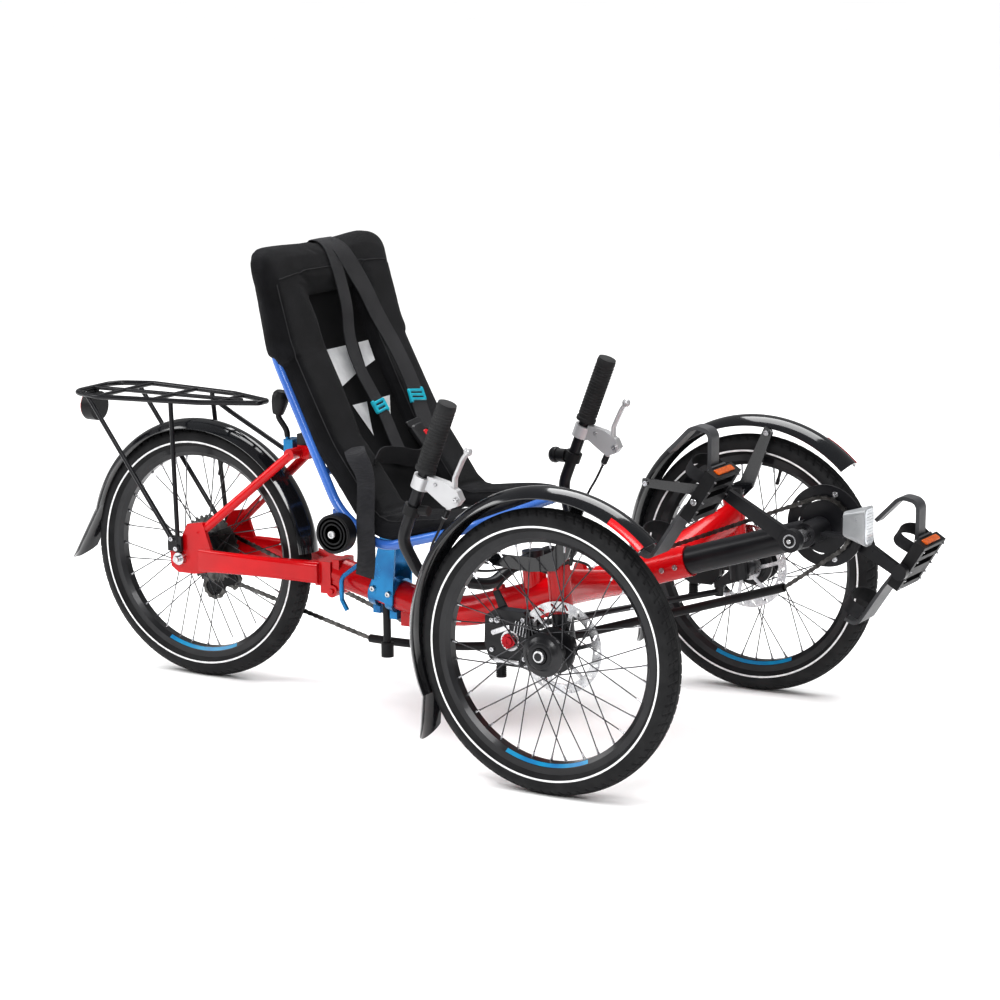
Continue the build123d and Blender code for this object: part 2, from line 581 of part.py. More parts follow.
STAY_TOP = (236.0, 38.0, 464.0)
YOKE_FRONT = HINGE_X - 1.0
YOKE_BACK = HINGE_X - 36.0
DROPOUT = [(-24, 230), (-26, 262), (-4, 276), (16, 316), (52, 322), (70, 270), (70, 226), (30, 219), (-8, 219)]
rear_frame = block((YOKE_BACK, -30, 214), (YOKE_FRONT, 30, 261))
for sign in (-1, 1):
    rear_frame += plate_xz(DROPOUT, sign * (DROPOUT_Y + 2) - 4, sign * (DROPOUT_Y + 2) + 4)
    rear_frame += loft([
        fore_aft(40, sign * DROPOUT_Y, 246) * RectangleRounded(14, 46, 5),
        fore_aft(195, sign * 65, 247) * RectangleRounded(ARM_WIDTH - 4, ARM_DEPTH - 2, 7),
        fore_aft(YOKE_BACK + 10, sign * 24, 238) * RectangleRounded(ARM_WIDTH + 8, ARM_DEPTH, 8),
    ])
    rear_frame += rod((40, sign * (DROPOUT_Y - 2), 298), (STAY_TOP[0], sign * STAY_TOP[1], STAY_TOP[2]), STAY_TUBE)
rear_frame += rod((STAY_TOP[0], -STAY_TOP[1] - 8, STAY_TOP[2]), (STAY_TOP[0], STAY_TOP[1] + 8, STAY_TOP[2]), 22)
rear_frame += block((STAY_TOP[0], -16, STAY_TOP[2] - 11), (STAY_TOP[0] + 26, 16, STAY_TOP[2] + 15))
for sign in (-1, 1):
    low, high = sorted((sign * 17.5, sign * 30))
    rear_frame += hinge_rod(low, high, HINGE_LUG)
    rear_frame += block((HINGE_X - 24, low, HINGE_PIN_Z - 5), (HINGE_X - 4, high, HINGE_PIN_Z + 14))
rear_frame -= hinge_rod(-17.5, 17.5, HINGE_LUG + 1.2)
rear_frame -= hinge_rod(-60, 60, HINGE_PIN + 2 * RUNNING_GAP)
rear_frame -= rod((0, -90, AXLE_HEIGHT), (0, 90, AXLE_HEIGHT), AXLE_DIAMETER)
keep("rear_frame", rear_frame)

rear_axle = rod((0, -AXLE_END, AXLE_HEIGHT), (0, AXLE_END, AXLE_HEIGHT), AXLE_DIAMETER)
for low, high, size in ((-DROPOUT_Y + 2, -52.6, 18), (62.6, DROPOUT_Y - 2, 18), (-86, -DROPOUT_Y - 6, 24), (DROPOUT_Y + 6, 86, 24)):
    rear_axle += rod((0, low, AXLE_HEIGHT), (0, high, AXLE_HEIGHT), size)
keep("rear_axle", rear_axle)

# Rear mudguard with its flap, rack and lamp

rear_guard = guard_shell(REAR_GUARD_RADIUS, 5, 165)
rear_guard += guard_flap(REAR_GUARD_RADIUS, 165, (-0.5, 0, -0.86), 128, (-300, -14))
keep("rear_mudguard", place_wheel(rear_guard, 0, 0))
rack_z = 552.0
RACK_RAIL = [(149, 0), (149, 14), (40, 60), (-180, 92), (-256, 66), (-256, 0)]
rail = pipe([(x, -y, rack_z) for x, y in RACK_RAIL], 10, [9, 60, 40, 40])
rack = rail + mirror_y(rail)
for x, half in ((70, 47), (-60, 74), (-180, 91)):
    rack += rod((x, -half, rack_z), (x, half, rack_z), 8)
rack += rod((100, 0, rack_z), (-256, 0, rack_z), 8)
for sign in (-1, 1):
    rack += rod((-20, sign * 68, rack_z), (-2, sign * 83, 280), 9)
    rack += rod((-210, sign * 82, rack_z), (-16, sign * 83, 284), 9)
    rack += rod((-2, sign * 76, 268), (-2, sign * 88, 268), 15)
    rack += plate_xz([(-24, 262), (-24, 292), (8, 292), (8, 262)], sign * 83 - 3, sign * 83 + 3)
rack += pipe([(30, 0, rack_z), (70, 0, 529), (196, 0, 464.5), (STAY_TOP[0] - 11.1, 0, 464.5)], 9, [20, 20])
keep("rack", rack)
lamp = rod((-268, 0, 516), (-244, 0, 516), 58)
lamp += block((-262, -8, 540), (-250, 8, rack_z - 5.05))
keep("tail_lamp", lamp)

# Latch behind the top of the stays, with its lever and knob

latch = block((204, -16, 450), (STAY_TOP[0] - 11.05, 16, 487))
latch -= block((200, -5.5, 440), (STAY_TOP[0], 5.5, 473))
lever_path = [(212, -11, 484), (208, -11, 505), (190, -11, 528), (196, -11, 556)]
latch += pipe(lever_path, 9, [14, 18])
latch += Pos(196, -11, 562) * Sphere(14)
keep("latch", latch)

# Derailleur and the chain on the rear frame

keep("derailleur",
     block((-6, 62, 196), (14, 67.5, 226)) + block((-16, 52, 176), (36, 66, 196)) +
     rod((-13, 44, 166), (-13, 54, 166), 46) + rod((31, 44, 184), (31, 54, 184), 34))

# Seat: a bent tube loop, a sling cover over it and the harness

half_seat = SEAT_WIDTH / 2
side_points = [(x, -half_seat, z) for x, z in SEAT_LINE]
half_loop = pipe(
    [(SEAT_LINE[0][0], 0, SEAT_LINE[0][1])] + side_points + [(SEAT_LINE[-1][0], 0, SEAT_LINE[-1][1])],
    SEAT_TUBE, [70] + SEAT_BENDS + [50])
seat_frame = half_loop + mirror_y(half_loop)
seat_frame += rod((410, -half_seat, 470), (410, half_seat, 470), CROSS_BAR)
seat_frame += rod((600, -half_seat, 360), (600, half_seat, 360), CROSS_BAR)
seat_frame += rod((ROLLER_X, -half_seat, ROLLER_Z), (ROLLER_X, half_seat, ROLLER_Z), CROSS_BAR)
for sign in (-1, 1):
    low, high = sorted((sign * (half_seat - 4), sign * (half_seat + 5)))
    seat_frame += plate_xz([(432, 404), (448, 398), (466, 378), (466, 350), (438, 350)], low, high)
    seat_frame += rod((ROLLER_X, sign * half_seat, ROLLER_Z), (ROLLER_X, sign * (half_seat + 38), ROLLER_Z), ROLLER_AXLE)
keep("seat_frame", seat_frame)


def beside(points, distance):
    """The line of (x, z) points moved to its front side by a distance, with sharp corners."""
    moved = []
    for index, point in enumerate(points):
        turns = []
        for a, b in ((index - 1, index), (index, index + 1)):
            if 0 <= a and b < len(points):
                turns.append(math.atan2(points[b][1] - points[a][1], points[b][0] - points[a][0]))
        first, last = turns[0], turns[-1]
        middle = (first + last) / 2
        reach = distance / math.cos((last - first) / 2)
        moved.append((point[0] - math.sin(middle) * reach, point[1] + math.cos(middle) * reach))
    return moved


seat_gap = SEAT_TUBE / 2 + 0.6
cover_back = beside(SEAT_LINE, seat_gap)
back_edge = FilletPolyline(*cover_back, radius=[bend - seat_gap for bend in SEAT_BENDS])
front_edge = FilletPolyline(*COVER_FRONT, radius=COVER_BENDS)
cover_side = make_face([
    back_edge, Line(back_edge @ 1, front_edge @ 1), front_edge, Line(front_edge @ 0, back_edge @ 0)])
cover = extrude(Plane.XZ * cover_side, amount=half_seat + 6, both=True)
keep("seat_cover", cover)
seat_brace = pipe([(410 - 8.2, 0, 470), (330, 0, 478), (236, 0, 494)], 16, 80)
seat_brace += block((236, -17, STAY_TOP[2] + 15.5), (263, 17, STAY_TOP[2] + 36))
keep("seat_brace", seat_brace)

# Seat belts laid on the cover, and the webbing that hangs on the right

def belt(y_low, y_high, z_low, z_high):
    """A flat belt on the front of the cover, between two widths and two heights."""
    inner = FilletPolyline(*beside(COVER_FRONT, BELT_GAP), radius=COVER_BENDS)
    outer = FilletPolyline(*beside(COVER_FRONT, BELT + BELT_GAP), radius=[*COVER_BENDS[:-1], COVER_BENDS[-1] - BELT])
    face = make_face([inner, Line(inner @ 1, outer @ 1), outer, Line(outer @ 0, inner @ 0)])
    strip = Pos(0, y_high, 0) * extrude(Plane.XZ * face, amount=y_high - y_low)
    return strip & block((200, y_low - 1, z_low), (800, y_high + 1, z_high))


keep("harness", belt(-18, 18, 470, SEAT_TOP - 2), belt(60, 106, 470, SEAT_TOP - 2), belt(-90, 50, 445, 469),
     block((497, -half_seat - 12.5, 290), (523, -half_seat - 9.5, 500)))

# Seat clamps round the main tube, their lever, and the foot under the tube

tube_fall = (DIP_Z - 238) / (DIP_X - HINGE_X)
clamp_run = Vector(1, 0, tube_fall).normalized()


def rear_tube(x):
    """A point of the main tube's axis behind the dip."""
    return Vector(x, 0, 238 + tube_fall * (x - HINGE_X))


tube_bar = rod(tuple(rear_tube(380)), tuple(rear_tube(480)), MAIN_TUBE + 0.2)
clamps = []
for x in (409, 446):
    centre = rear_tube(x)
    band = rod(tuple(centre - clamp_run * 8), tuple(centre + clamp_run * 8), MAIN_TUBE + 12)
    clamps.append(band + block((x - 15, -7, centre.Z - 48), (x + 1, 7, centre.Z - 30)))
seat_clamps = clamps[0] + clamps[1]
for sign in (-1, 1):
    low, high = sorted((sign * 29, sign * 34))
    seat_clamps += plate_xz([
        (401, 205), (454, 192), (465, ROLLER_Z - 4), (460, ROLLER_Z + 13), (444, ROLLER_Z + 13),
        (438, ROLLER_Z - 4)], low, high)
lever_path = [(402, -31.5, 276), (388, -42, 268), (348, -44, 238), (348, -44, 196), (360, -44, 176)]
seat_clamps += pipe(lever_path, 9, [8, 20, 16])
seat_clamps -= rod((ROLLER_X, -50, ROLLER_Z), (ROLLER_X, 50, ROLLER_Z), CROSS_BAR + 0.2)
keep("seat_clamps", seat_clamps - tube_bar)
post = rod((FOOT_X, 0, 110), (FOOT_X, 0, 200), 15) - tube_bar
keep("stand_foot", post + rod((FOOT_X, 0, 84), (FOOT_X, 0, 112), 24))

roller_in = half_seat + 12
for side, sign in SIDES:
    low, high = sorted((sign * roller_in, sign * (roller_in + 24)))
    roller = rod((ROLLER_X, low, ROLLER_Z), (ROLLER_X, high, ROLLER_Z), 2 * ROLLER_RADIUS,
                 ROLLER_AXLE + 2 * RUNNING_GAP)
    keep(f"{side}_roller", roller)

# Handlebar under the seat, its grips and levers

bar_x = axis_x(PIVOT_X, 250, BAR_LEVEL)
grip_root = (GRIP_ROOT[0], GRIP_Y, GRIP_ROOT[1])
grip_top = (GRIP_TOP[0], GRIP_Y, GRIP_TOP[1])
bar_line = [(bar_x, 0, BAR_LEVEL), (bar_x, 60, BAR_LEVEL), *BAR_KNEES, grip_root, grip_top]
half_bar = pipe([(x, -y, z) for x, y, z in bar_line], BAR_TUBE, BAR_BENDS)
pitman_z = PITMAN_ROD_Z + 9
stem_low = (axis_x(PIVOT_X, 250, pitman_z), 0, pitman_z)
stem_high = (axis_x(PIVOT_X, 250, BAR_STEM_TOP), 0, BAR_STEM_TOP)
handlebar = half_bar + mirror_y(half_bar) + rod(stem_low, stem_high, BAR_STEM)
collar_z = PIVOT_TOP + 1.5
handlebar += rod((axis_x(PIVOT_X, 250, collar_z), 0, collar_z), stem_high, BAR_COLLAR)
pitman_x = axis_x(PIVOT_X, 250, PITMAN_ROD_Z) - STEER_ARM
handlebar += block((pitman_x - 11, -ROD_SPREAD - 9, pitman_z), (stem_low[0] + 11, ROD_SPREAD + 9, pitman_z + 9))
keep("handlebar", handlebar)
grip_axis = (Vector(*grip_top) - Vector(*grip_root)).normalized()


def on_grip(sign, below):
    """A point of a grip's axis, a distance below its top end."""
    point = Vector(*grip_top) - grip_axis * below
    return Vector(point.X, sign * point.Y, point.Z)


def grip_rod(sign, first, last, diameter):
    """A round bar on a grip's axis, between two distances below its top end."""
    return rod(tuple(on_grip(sign, last)), tuple(on_grip(sign, first)), diameter)


def brake_lever(sign):
    """A brake lever: a clamp band, a flat bracket with its cable adjuster, and a bowed blade with a ball end."""
    first = GRIP_LENGTH + 10
    lever = grip_rod(sign, first, first + LEVER_CLAMP, GRIP_TUBE)
    lever += plate_xz(LEVER_BODY, sign * GRIP_Y - 8, sign * GRIP_Y + 8)
    lever -= grip_rod(sign, 0, first + 2 * LEVER_CLAMP, BAR_TUBE)
    blade_line = FilletPolyline(*[(x, sign * GRIP_Y, z) for x, z in LEVER_BLADE], radius=LEVER_BENDS)
    section = Plane(origin=blade_line @ 0, x_dir=(0, 1, 0), z_dir=blade_line % 0) * RectangleRounded(13, 7, 3)
    lever += sweep(section, path=blade_line)
    tip_x, tip_z = LEVER_BLADE[-1]
    lever += Pos(tip_x, sign * GRIP_Y, tip_z) * Sphere(8)
    pivot_x, pivot_z = LEVER_BLADE[0]
    lever += rod((pivot_x, sign * GRIP_Y - 10, pivot_z), (pivot_x, sign * GRIP_Y + 10, pivot_z), 13)
    (top_x, top_z), (end_x, end_z) = LEVER_ADJUSTER
    lever += rod((top_x, sign * GRIP_Y, top_z), (end_x, sign * GRIP_Y, end_z), 10)
    return lever


grips = []
levers = []
controls = []
for side, sign in SIDES:
    grip = grip_rod(sign, -3, GRIP_LENGTH, GRIP_TUBE)
    grips.append(grip - grip_rod(sign, 0, GRIP_LENGTH, BAR_TUBE))
    levers.append(brake_lever(sign))
    clamp = grip_rod(sign, 196, 214, 32)
    at = on_grip(sign, 205)
    ahead = -1 if sign > 0 else 1
    clamp += rod(tuple(at + Vector(ahead * 15.5, 0, 0)), tuple(at + Vector(ahead * 34, 0, 0)), 26 if sign > 0 else 18)
    controls.append(clamp - grip_rod(sign, 175, 235, BAR_TUBE))
keep("bell_and_shifter", *controls)
keep("grips", *grips)
keep("brake_levers", *levers)

# Tie rods

for side, sign in SIDES:
    inner = (pitman_x, sign * ROD_SPREAD, PITMAN_ROD_Z)
    outer = (axis_x(HEAD_X, head_middle_z, KNUCKLE_ROD_Z) - STEER_ARM, sign * (HEAD_Y + ROD_SPREAD), KNUCKLE_ROD_Z)
    tie_rod = rod(inner, outer, ROD_TUBE)
    for x, y, z in (inner, outer):
        tie_rod += rod((x, y, z - 8), (x, y, z + 8.5), 16)
    keep(f"{side}_tie_rod", tie_rod)

# Chain: the pull run from the sprocket over the idler to the ring, and the return run in its tubes

def chain_bar(start, end):
    """A straight stretch of chain between two (x, z) points."""
    (x1, z1), (x2, z2) = start, end
    length = math.hypot(x2 - x1, z2 - z1)
    across = ((z1 - z2) / length * CHAIN_HEIGHT / 2, (x2 - x1) / length * CHAIN_HEIGHT / 2)
    outline = [
        (x1 + across[0], z1 + across[1]), (x2 + across[0], z2 + across[1]),
        (x2 - across[0], z2 - across[1]), (x1 - across[0], z1 - across[1])]
    return plate_xz(outline, CHAIN_Y - CHAIN_WIDTH / 2, CHAIN_Y + CHAIN_WIDTH / 2)


def chain_wrap(centre, radius, first, last):
    """A stretch of chain bent round a wheel, between two angles counted from the front upwards."""
    x, z = centre
    half = CHAIN_HEIGHT / 2
    face = make_face(Polyline(
        (radius - half, -CHAIN_WIDTH / 2), (radius + half, -CHAIN_WIDTH / 2),
        (radius + half, CHAIN_WIDTH / 2), (radius - half, CHAIN_WIDTH / 2), close=True))
    arc = revolve(face, axis=Axis.Y, revolution_arc=last - first)
    return Pos(x, CHAIN_Y, z) * Rot(0, -last, 0) * arc


def tangent(a, radius_a, b, radius_b):
    """The straight line that touches two circles, each on its side: a positive radius is the upper side."""
    dx, dz = b[0] - a[0], b[1] - a[1]
    heading = math.atan2(dz, dx) + math.asin((radius_b - radius_a) / math.hypot(dx, dz))
    nx, nz = -math.sin(heading), math.cos(heading)
    return (a[0] + nx * radius_a, a[1] + nz * radius_a), (b[0] + nx * radius_b, b[1] + nz * radius_b)


def wheel_angle(centre, point):
    return math.degrees(math.atan2(point[1] - centre[1], point[0] - centre[0]))


axle = (0.0, AXLE_HEIGHT)
bracket = (BB_X, BB_Z)
small_sprocket = smallest_sprocket + CHAIN_PLAY + CHAIN_HEIGHT / 2
ring_pitch = INNER_RING_RADIUS + CHAIN_PLAY + CHAIN_HEIGHT / 2
under_idler = -(IDLER_RADIUS + CHAIN_HEIGHT / 2)
pull_start, pull_end = tangent(axle, small_sprocket, IDLER, under_idler)
rise_start, rise_end = tangent(IDLER, under_idler, bracket, ring_pitch)


def on_line(a, b, x):
    """The point of a line at a given x."""
    return x, a[1] + (b[1] - a[1]) * (x - a[0]) / (b[0] - a[0])


keep("rear_chain", chain_bar(pull_start, on_line(pull_start, pull_end, HINGE_X - 60)))
keep("chain", chain_bar(on_line(pull_start, pull_end, HINGE_X + 15), pull_end)
     + chain_wrap(IDLER, -under_idler, wheel_angle(IDLER, pull_end), wheel_angle(IDLER, rise_start))
     + chain_bar(rise_start, rise_end))
keep("idler", Pos(IDLER[0], 0, IDLER[1]) * ring(IDLER_AXLE / 2, IDLER_RADIUS, CHAIN_Y - 3, CHAIN_Y + 3))
TUBE_LINE = [(350, CHAIN_Y, 101), (607, CHAIN_Y, 96), (1222, CHAIN_Y, 292)]
keep("chain_tube", pipe(TUBE_LINE, CHAIN_TUBE, 1400, CHAIN_TUBE_BORE))

# Writing

boxes = [shape.bounding_box() for shape in pieces.values()]
SHIFT = (min(box.min.X for box in boxes) + max(box.max.X for box in boxes)) / 2

os.makedirs("parts", exist_ok=True)
for name, shape in pieces.items():
    export_step(Pos(-SHIFT, 0, 0) * shape, f"parts/{name}.step")
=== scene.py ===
import json
from math import acos, asin, atan2, copysign, cos, pi, radians, sin, sqrt, tan

import bpy
from mathutils import Matrix, Vector
from mathutils.bvhtree import BVHTree


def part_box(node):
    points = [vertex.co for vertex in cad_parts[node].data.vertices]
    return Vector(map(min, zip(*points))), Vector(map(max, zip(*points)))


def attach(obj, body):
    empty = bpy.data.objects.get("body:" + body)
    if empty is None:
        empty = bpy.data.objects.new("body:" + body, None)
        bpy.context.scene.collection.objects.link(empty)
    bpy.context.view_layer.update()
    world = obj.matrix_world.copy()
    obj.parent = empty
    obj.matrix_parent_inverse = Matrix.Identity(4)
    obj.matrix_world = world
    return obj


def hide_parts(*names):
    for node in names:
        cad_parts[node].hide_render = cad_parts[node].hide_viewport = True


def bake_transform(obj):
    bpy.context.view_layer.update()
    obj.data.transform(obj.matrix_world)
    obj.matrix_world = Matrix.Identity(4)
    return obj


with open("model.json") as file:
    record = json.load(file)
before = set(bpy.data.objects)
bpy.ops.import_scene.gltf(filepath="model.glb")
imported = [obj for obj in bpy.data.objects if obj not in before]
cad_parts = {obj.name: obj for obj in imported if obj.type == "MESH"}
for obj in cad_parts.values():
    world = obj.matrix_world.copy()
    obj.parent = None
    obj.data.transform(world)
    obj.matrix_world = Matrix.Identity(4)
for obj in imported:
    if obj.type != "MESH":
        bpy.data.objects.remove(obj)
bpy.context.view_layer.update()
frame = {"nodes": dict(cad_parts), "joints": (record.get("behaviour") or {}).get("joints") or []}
nodes = frame["nodes"]
joints = {joint["name"]: joint for joint in frame["joints"]}

# Studio
# A pale floor that runs far out under a white sky, with three wide soft lamps and a soft sun round the trike.
# The camera stands far off its front right corner, a metre and a half above the floor.

REAR_AXLE = Vector(joints["rear_wheel_spin"]["pos_m"])
AHEAD, LEFT, UP = Vector((1, 0, 0)), Vector((0, 1, 0)), Vector((0, 0, 1))


def spot(x, y, z):
    """A point counted in metres from the floor under the rear axle: forward, to the left and up."""
    return Vector((REAR_AXLE.x + x, y, z))


def added(name, data):
    """A new object in the scene."""
    thing = bpy.data.objects.new(name, data)
    bpy.context.scene.collection.objects.link(thing)
    return thing


def soft_lamp(name, place, target, size, power):
    """A square lamp that lights a target softly."""
    lamp = added(name, bpy.data.lights.new(name, "AREA"))
    lamp.data.size = size
    lamp.data.energy = power
    lamp.location = place
    lamp.rotation_euler = (target - place).to_track_quat("-Z", "Y").to_euler()


middle = spot(0.6, 0, 0.4)
soft_lamp("key_lamp", spot(2.4, -3.8, 3.0), middle, 1.8, 110)
soft_lamp("rim_lamp", spot(-2.8, -1.6, 2.4), middle, 2.0, 60)
soft_lamp("top_lamp", spot(0.4, 1.4, 3.6), middle, 2.6, 110)

sun = added("wide_sun", bpy.data.lights.new("wide_sun", "SUN"))
sun.data.energy = 2.9
sun.data.angle = radians(50)
sun.visible_glossy = False
sun.rotation_euler = (radians(14), radians(-10), 0)

sky = bpy.data.worlds.new("sky")
sky.use_nodes = True
sky.node_tree.nodes["Background"].inputs["Color"].default_value = (1, 1, 1, 1)
sky.node_tree.nodes["Background"].inputs["Strength"].default_value = 0.3
bpy.context.scene.world = sky
bpy.context.scene.view_settings.view_transform = "Standard"
bpy.context.scene.view_settings.gamma = 0.84

CAMERA_PLACE = (3.5142, -4.8198, 1.5134)
CAMERA_TURN = 0.53296
CAMERA_FALL = 0.19494
CAMERA_ROLL = -0.01162
CAMERA_LENS = 111.97
camera = added("camera", bpy.data.cameras.new("camera"))
camera.data.lens = CAMERA_LENS
camera.data.sensor_width = 36
camera.data.clip_end = 60
camera.matrix_world = (
    Matrix.Translation(spot(*CAMERA_PLACE)) @ Matrix.Rotation(CAMERA_TURN, 4, "Z")
    @ Matrix.Rotation(pi / 2 - CAMERA_FALL, 4, "X") @ Matrix.Rotation(CAMERA_ROLL, 4, "Z"))
bpy.context.scene.camera = camera


def blend_colour(tree, where, first, second):
    """Two colours mixed by a value that changes over the surface."""
    share = tree.nodes.new("ShaderNodeMapRange")
    share.inputs["From Min"].default_value = 0.35
    share.inputs["From Max"].default_value = 0.65
    tree.links.new(where, share.inputs["Value"])
    mix = tree.nodes.new("ShaderNodeMix")
    mix.data_type = "RGBA"
    mix.inputs[6].default_value = (*first, 1)
    mix.inputs[7].default_value = (*second, 1)
    tree.links.new(share.outputs["Result"], mix.inputs["Factor"])
    return mix.outputs[2]


def cloud(tree, size, detail):
    """A soft noise whose patches are about one size across, in metres."""
    place = tree.nodes.new("ShaderNodeTexCoord")
    noise = tree.nodes.new("ShaderNodeTexNoise")
    noise.inputs["Scale"].default_value = 1 / size
    noise.inputs["Detail"].default_value = detail
    tree.links.new(place.outputs["Object"], noise.inputs["Vector"])
    return noise.outputs["Fac"]


def finish(name, light, dark, patch=0.08, roughness=0.4, spread=0.08, grain=0.001, depth=0.00004,
           metallic=0.0, coat=0.0, sheen=0.0, edge=0.0, shine=0.5):
    """A surface with uneven colour and gloss and a fine grain."""
    material = bpy.data.materials.new(name)
    material.use_nodes = True
    tree = material.node_tree
    skin = tree.nodes["Principled BSDF"]
    skin.inputs["Metallic"].default_value = metallic
    skin.inputs["Specular IOR Level"].default_value = shine
    skin.inputs["Coat Weight"].default_value = coat
    skin.inputs["Coat Roughness"].default_value = 0.06
    skin.inputs["Sheen Weight"].default_value = sheen
    tree.links.new(blend_colour(tree, cloud(tree, patch, 3.0), light, dark), skin.inputs["Base Color"])
    gloss = tree.nodes.new("ShaderNodeMapRange")
    gloss.inputs["To Min"].default_value = max(roughness - spread, 0.02)
    gloss.inputs["To Max"].default_value = roughness + spread
    tree.links.new(cloud(tree, patch * 0.4, 5.0), gloss.inputs["Value"])
    tree.links.new(gloss.outputs["Result"], skin.inputs["Roughness"])
    bump = tree.nodes.new("ShaderNodeBump")
    bump.inputs["Distance"].default_value = depth
    tree.links.new(cloud(tree, grain, 2.0), bump.inputs["Height"])
    tree.links.new(bump.outputs["Normal"], skin.inputs["Normal"])
    if edge:
        rounded = tree.nodes.new("ShaderNodeBevel")
        rounded.samples = 4
        rounded.inputs["Radius"].default_value = edge
        tree.links.new(rounded.outputs["Normal"], bump.inputs["Normal"])
    return material


def dress(material, *names):
    """Gives CAD nodes their finish."""
    for name in names:
        node = nodes[name]
        node.data.materials.clear()
        node.data.materials.append(material)


FLOOR_HALF = 150.0
floor_mesh = bpy.data.meshes.new("floor")
floor_mesh.from_pydata(
    [(x * FLOOR_HALF, y * FLOOR_HALF, 0) for x, y in ((-1, -1), (1, -1), (1, 1), (-1, 1))], [], [(0, 1, 2, 3)])
floor = added("floor", floor_mesh)
floor_white = finish("pale_floor", (0.93, 0.93, 0.93), (0.9, 0.9, 0.9), 0.6, 0.9, 0.05, 0.004, 0.0001)
floor_mesh.materials.append(floor_white)

# Main frame and rear frame
# Welded aluminium tubes with cross arms, head tubes, dropout plates and stays.
# Both are powder coated in a clear bright red under lacquer and bolted together at the fold hinge.

red_coat = finish("red_powder_coat", (0.56, 0.0015, 0.006), (0.42, 0.001, 0.004), 0.12, 0.22, 0.05,
                  grain=0.0016, depth=0.00005, coat=0.3, edge=0.0012, shine=0.3)
dress(red_coat, "main_frame", "rear_frame")


def make_piece(name, parts, material, body):
    """One mesh from (vertices, faces) parts, in its finish, on its body."""
    vertices, faces = [], []
    for part_vertices, part_faces in parts:
        first = len(vertices)
        vertices += [tuple(v) for v in part_vertices]
        faces += [tuple(first + i for i in face) for face in part_faces]
    mesh = bpy.data.meshes.new(name)
    mesh.from_pydata(vertices, [], faces)
    mesh.validate()
    mesh.materials.append(material)
    piece = added(name, mesh)
    mesh.shade_smooth()
    mesh.set_sharp_from_angle(angle=radians(35))
    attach(piece, body)
    return piece


def skinned(rings, ends=True):
    """A skin over rings of points: closed at both ends, or else joined from the last ring to the first."""
    per, count = len(rings[0]), len(rings)
    faces = []
    for row in range(count - ends):
        here, after = row * per, (row + 1) % count * per
        for k in range(per):
            far = (k + 1) % per
            faces.append((here + k, here + far, after + far, after + k))
    if ends:
        faces += [tuple(reversed(range(per))), tuple(range((count - 1) * per, count * per))]
    return [point for ring in rings for point in ring], faces


def turned(base, axis, outline, sides=24):
    """A turned shape on an axis from a base point, from an outline of (along, radius) with closed ends."""
    axis = axis.normalized()
    u = axis.orthogonal().normalized()
    v = axis.cross(u)
    turns = [2 * pi * k / sides for k in range(sides)]
    return skinned([[base + axis * along + (u * cos(turn) + v * sin(turn)) * radius for turn in turns]
                    for along, radius in outline])


def cap_screw(place, out, head, high):
    """A socket head screw that stands on a surface, with the hole in its head."""
    r = head / 2
    return turned(place, out, [
        (0, r * 0.98), (high * 0.8, r), (high, r * 0.86), (high, r * 0.5), (high * 0.45, r * 0.5)], 18)


bright_steel = finish("screw_steel", (0.62, 0.62, 0.63), (0.46, 0.46, 0.48), 0.01, 0.28, 0.1, 0.0006, 0.00002,
                      metallic=1.0)
black_steel = finish("black_steel", (0.022, 0.022, 0.024), (0.012, 0.012, 0.014), 0.03, 0.36, 0.08,
                     grain=0.0008, depth=0.00003, metallic=0.4, edge=0.0008)

# Boom, cranks and the black fittings
# Drawn aluminium with a satin black anodised or painted skin, clamped into the red sleeve of the frame.

HANDS = {"right": -1, "left": 1}
satin_black = finish("satin_black", (0.012, 0.012, 0.014), (0.007, 0.007, 0.009), 0.06, 0.3, 0.07,
                     grain=0.0012, depth=0.00004, edge=0.0009, shine=0.4)
moulded_black = finish("moulded_black", (0.014, 0.014, 0.015), (0.008, 0.008, 0.009), 0.04, 0.45, 0.08,
                       grain=0.0005, depth=0.00006, edge=0.0008, shine=0.3)
dress(satin_black, "boom", "chainring", "handlebar", "seat_brace", "rack")
dress(moulded_black, "derailleur", "idler", "chain_tube", "bell_and_shifter", "stand_foot")
for hand in HANDS:
    dress(satin_black, f"{hand}_crank", f"{hand}_knuckle", f"{hand}_tie_rod", f"{hand}_brake_caliper")
    dress(moulded_black, f"{hand}_roller", f"{hand}_pedal")

# Wheels
# Black alloy rims laced with stainless spokes to wide black hubs.
# The two front ones carry a slotted steel brake rotor, and the rear one the sprockets.

WHEELS = ("rear", "right", "left")
rim_black = finish("rim_black", (0.018, 0.018, 0.02), (0.01, 0.01, 0.012), 0.05, 0.3, 0.06,
                   grain=0.0009, depth=0.00003, metallic=0.3, coat=0.2)
spoke_steel = finish("spoke_steel", (0.13, 0.13, 0.135), (0.07, 0.07, 0.075), 0.03, 0.3, 0.08,
                     grain=0.0006, depth=0.00002, metallic=1.0)
for wheel in WHEELS:
    dress(rim_black, f"{wheel}_rim", f"{wheel}_hub")
    dress(spoke_steel, f"{wheel}_spokes")
dress(bright_steel, "right_brake_disc", "left_brake_disc", "rear_axle", "crank_spindle")
chain_steel = finish("chain_steel", (0.16, 0.155, 0.15), (0.07, 0.068, 0.065), 0.012, 0.34, 0.12,
                     grain=0.0006, depth=0.00003, metallic=1.0)
dress(chain_steel, "chain", "rear_chain", "cassette")

# Tyres
# Black rubber with a round section: a smooth middle rib, slanted grooves in the shoulders and plain walls.
# Each wall has a thin light-reflecting ring near the rim.

TREAD_DEPTH = 0.0016
TREAD_PITCHES = 84
STEPS_PER_PITCH = 10
SECTION_STEPS = 44
TREAD_REACH = radians(58)
BAND_THICK = 0.0004


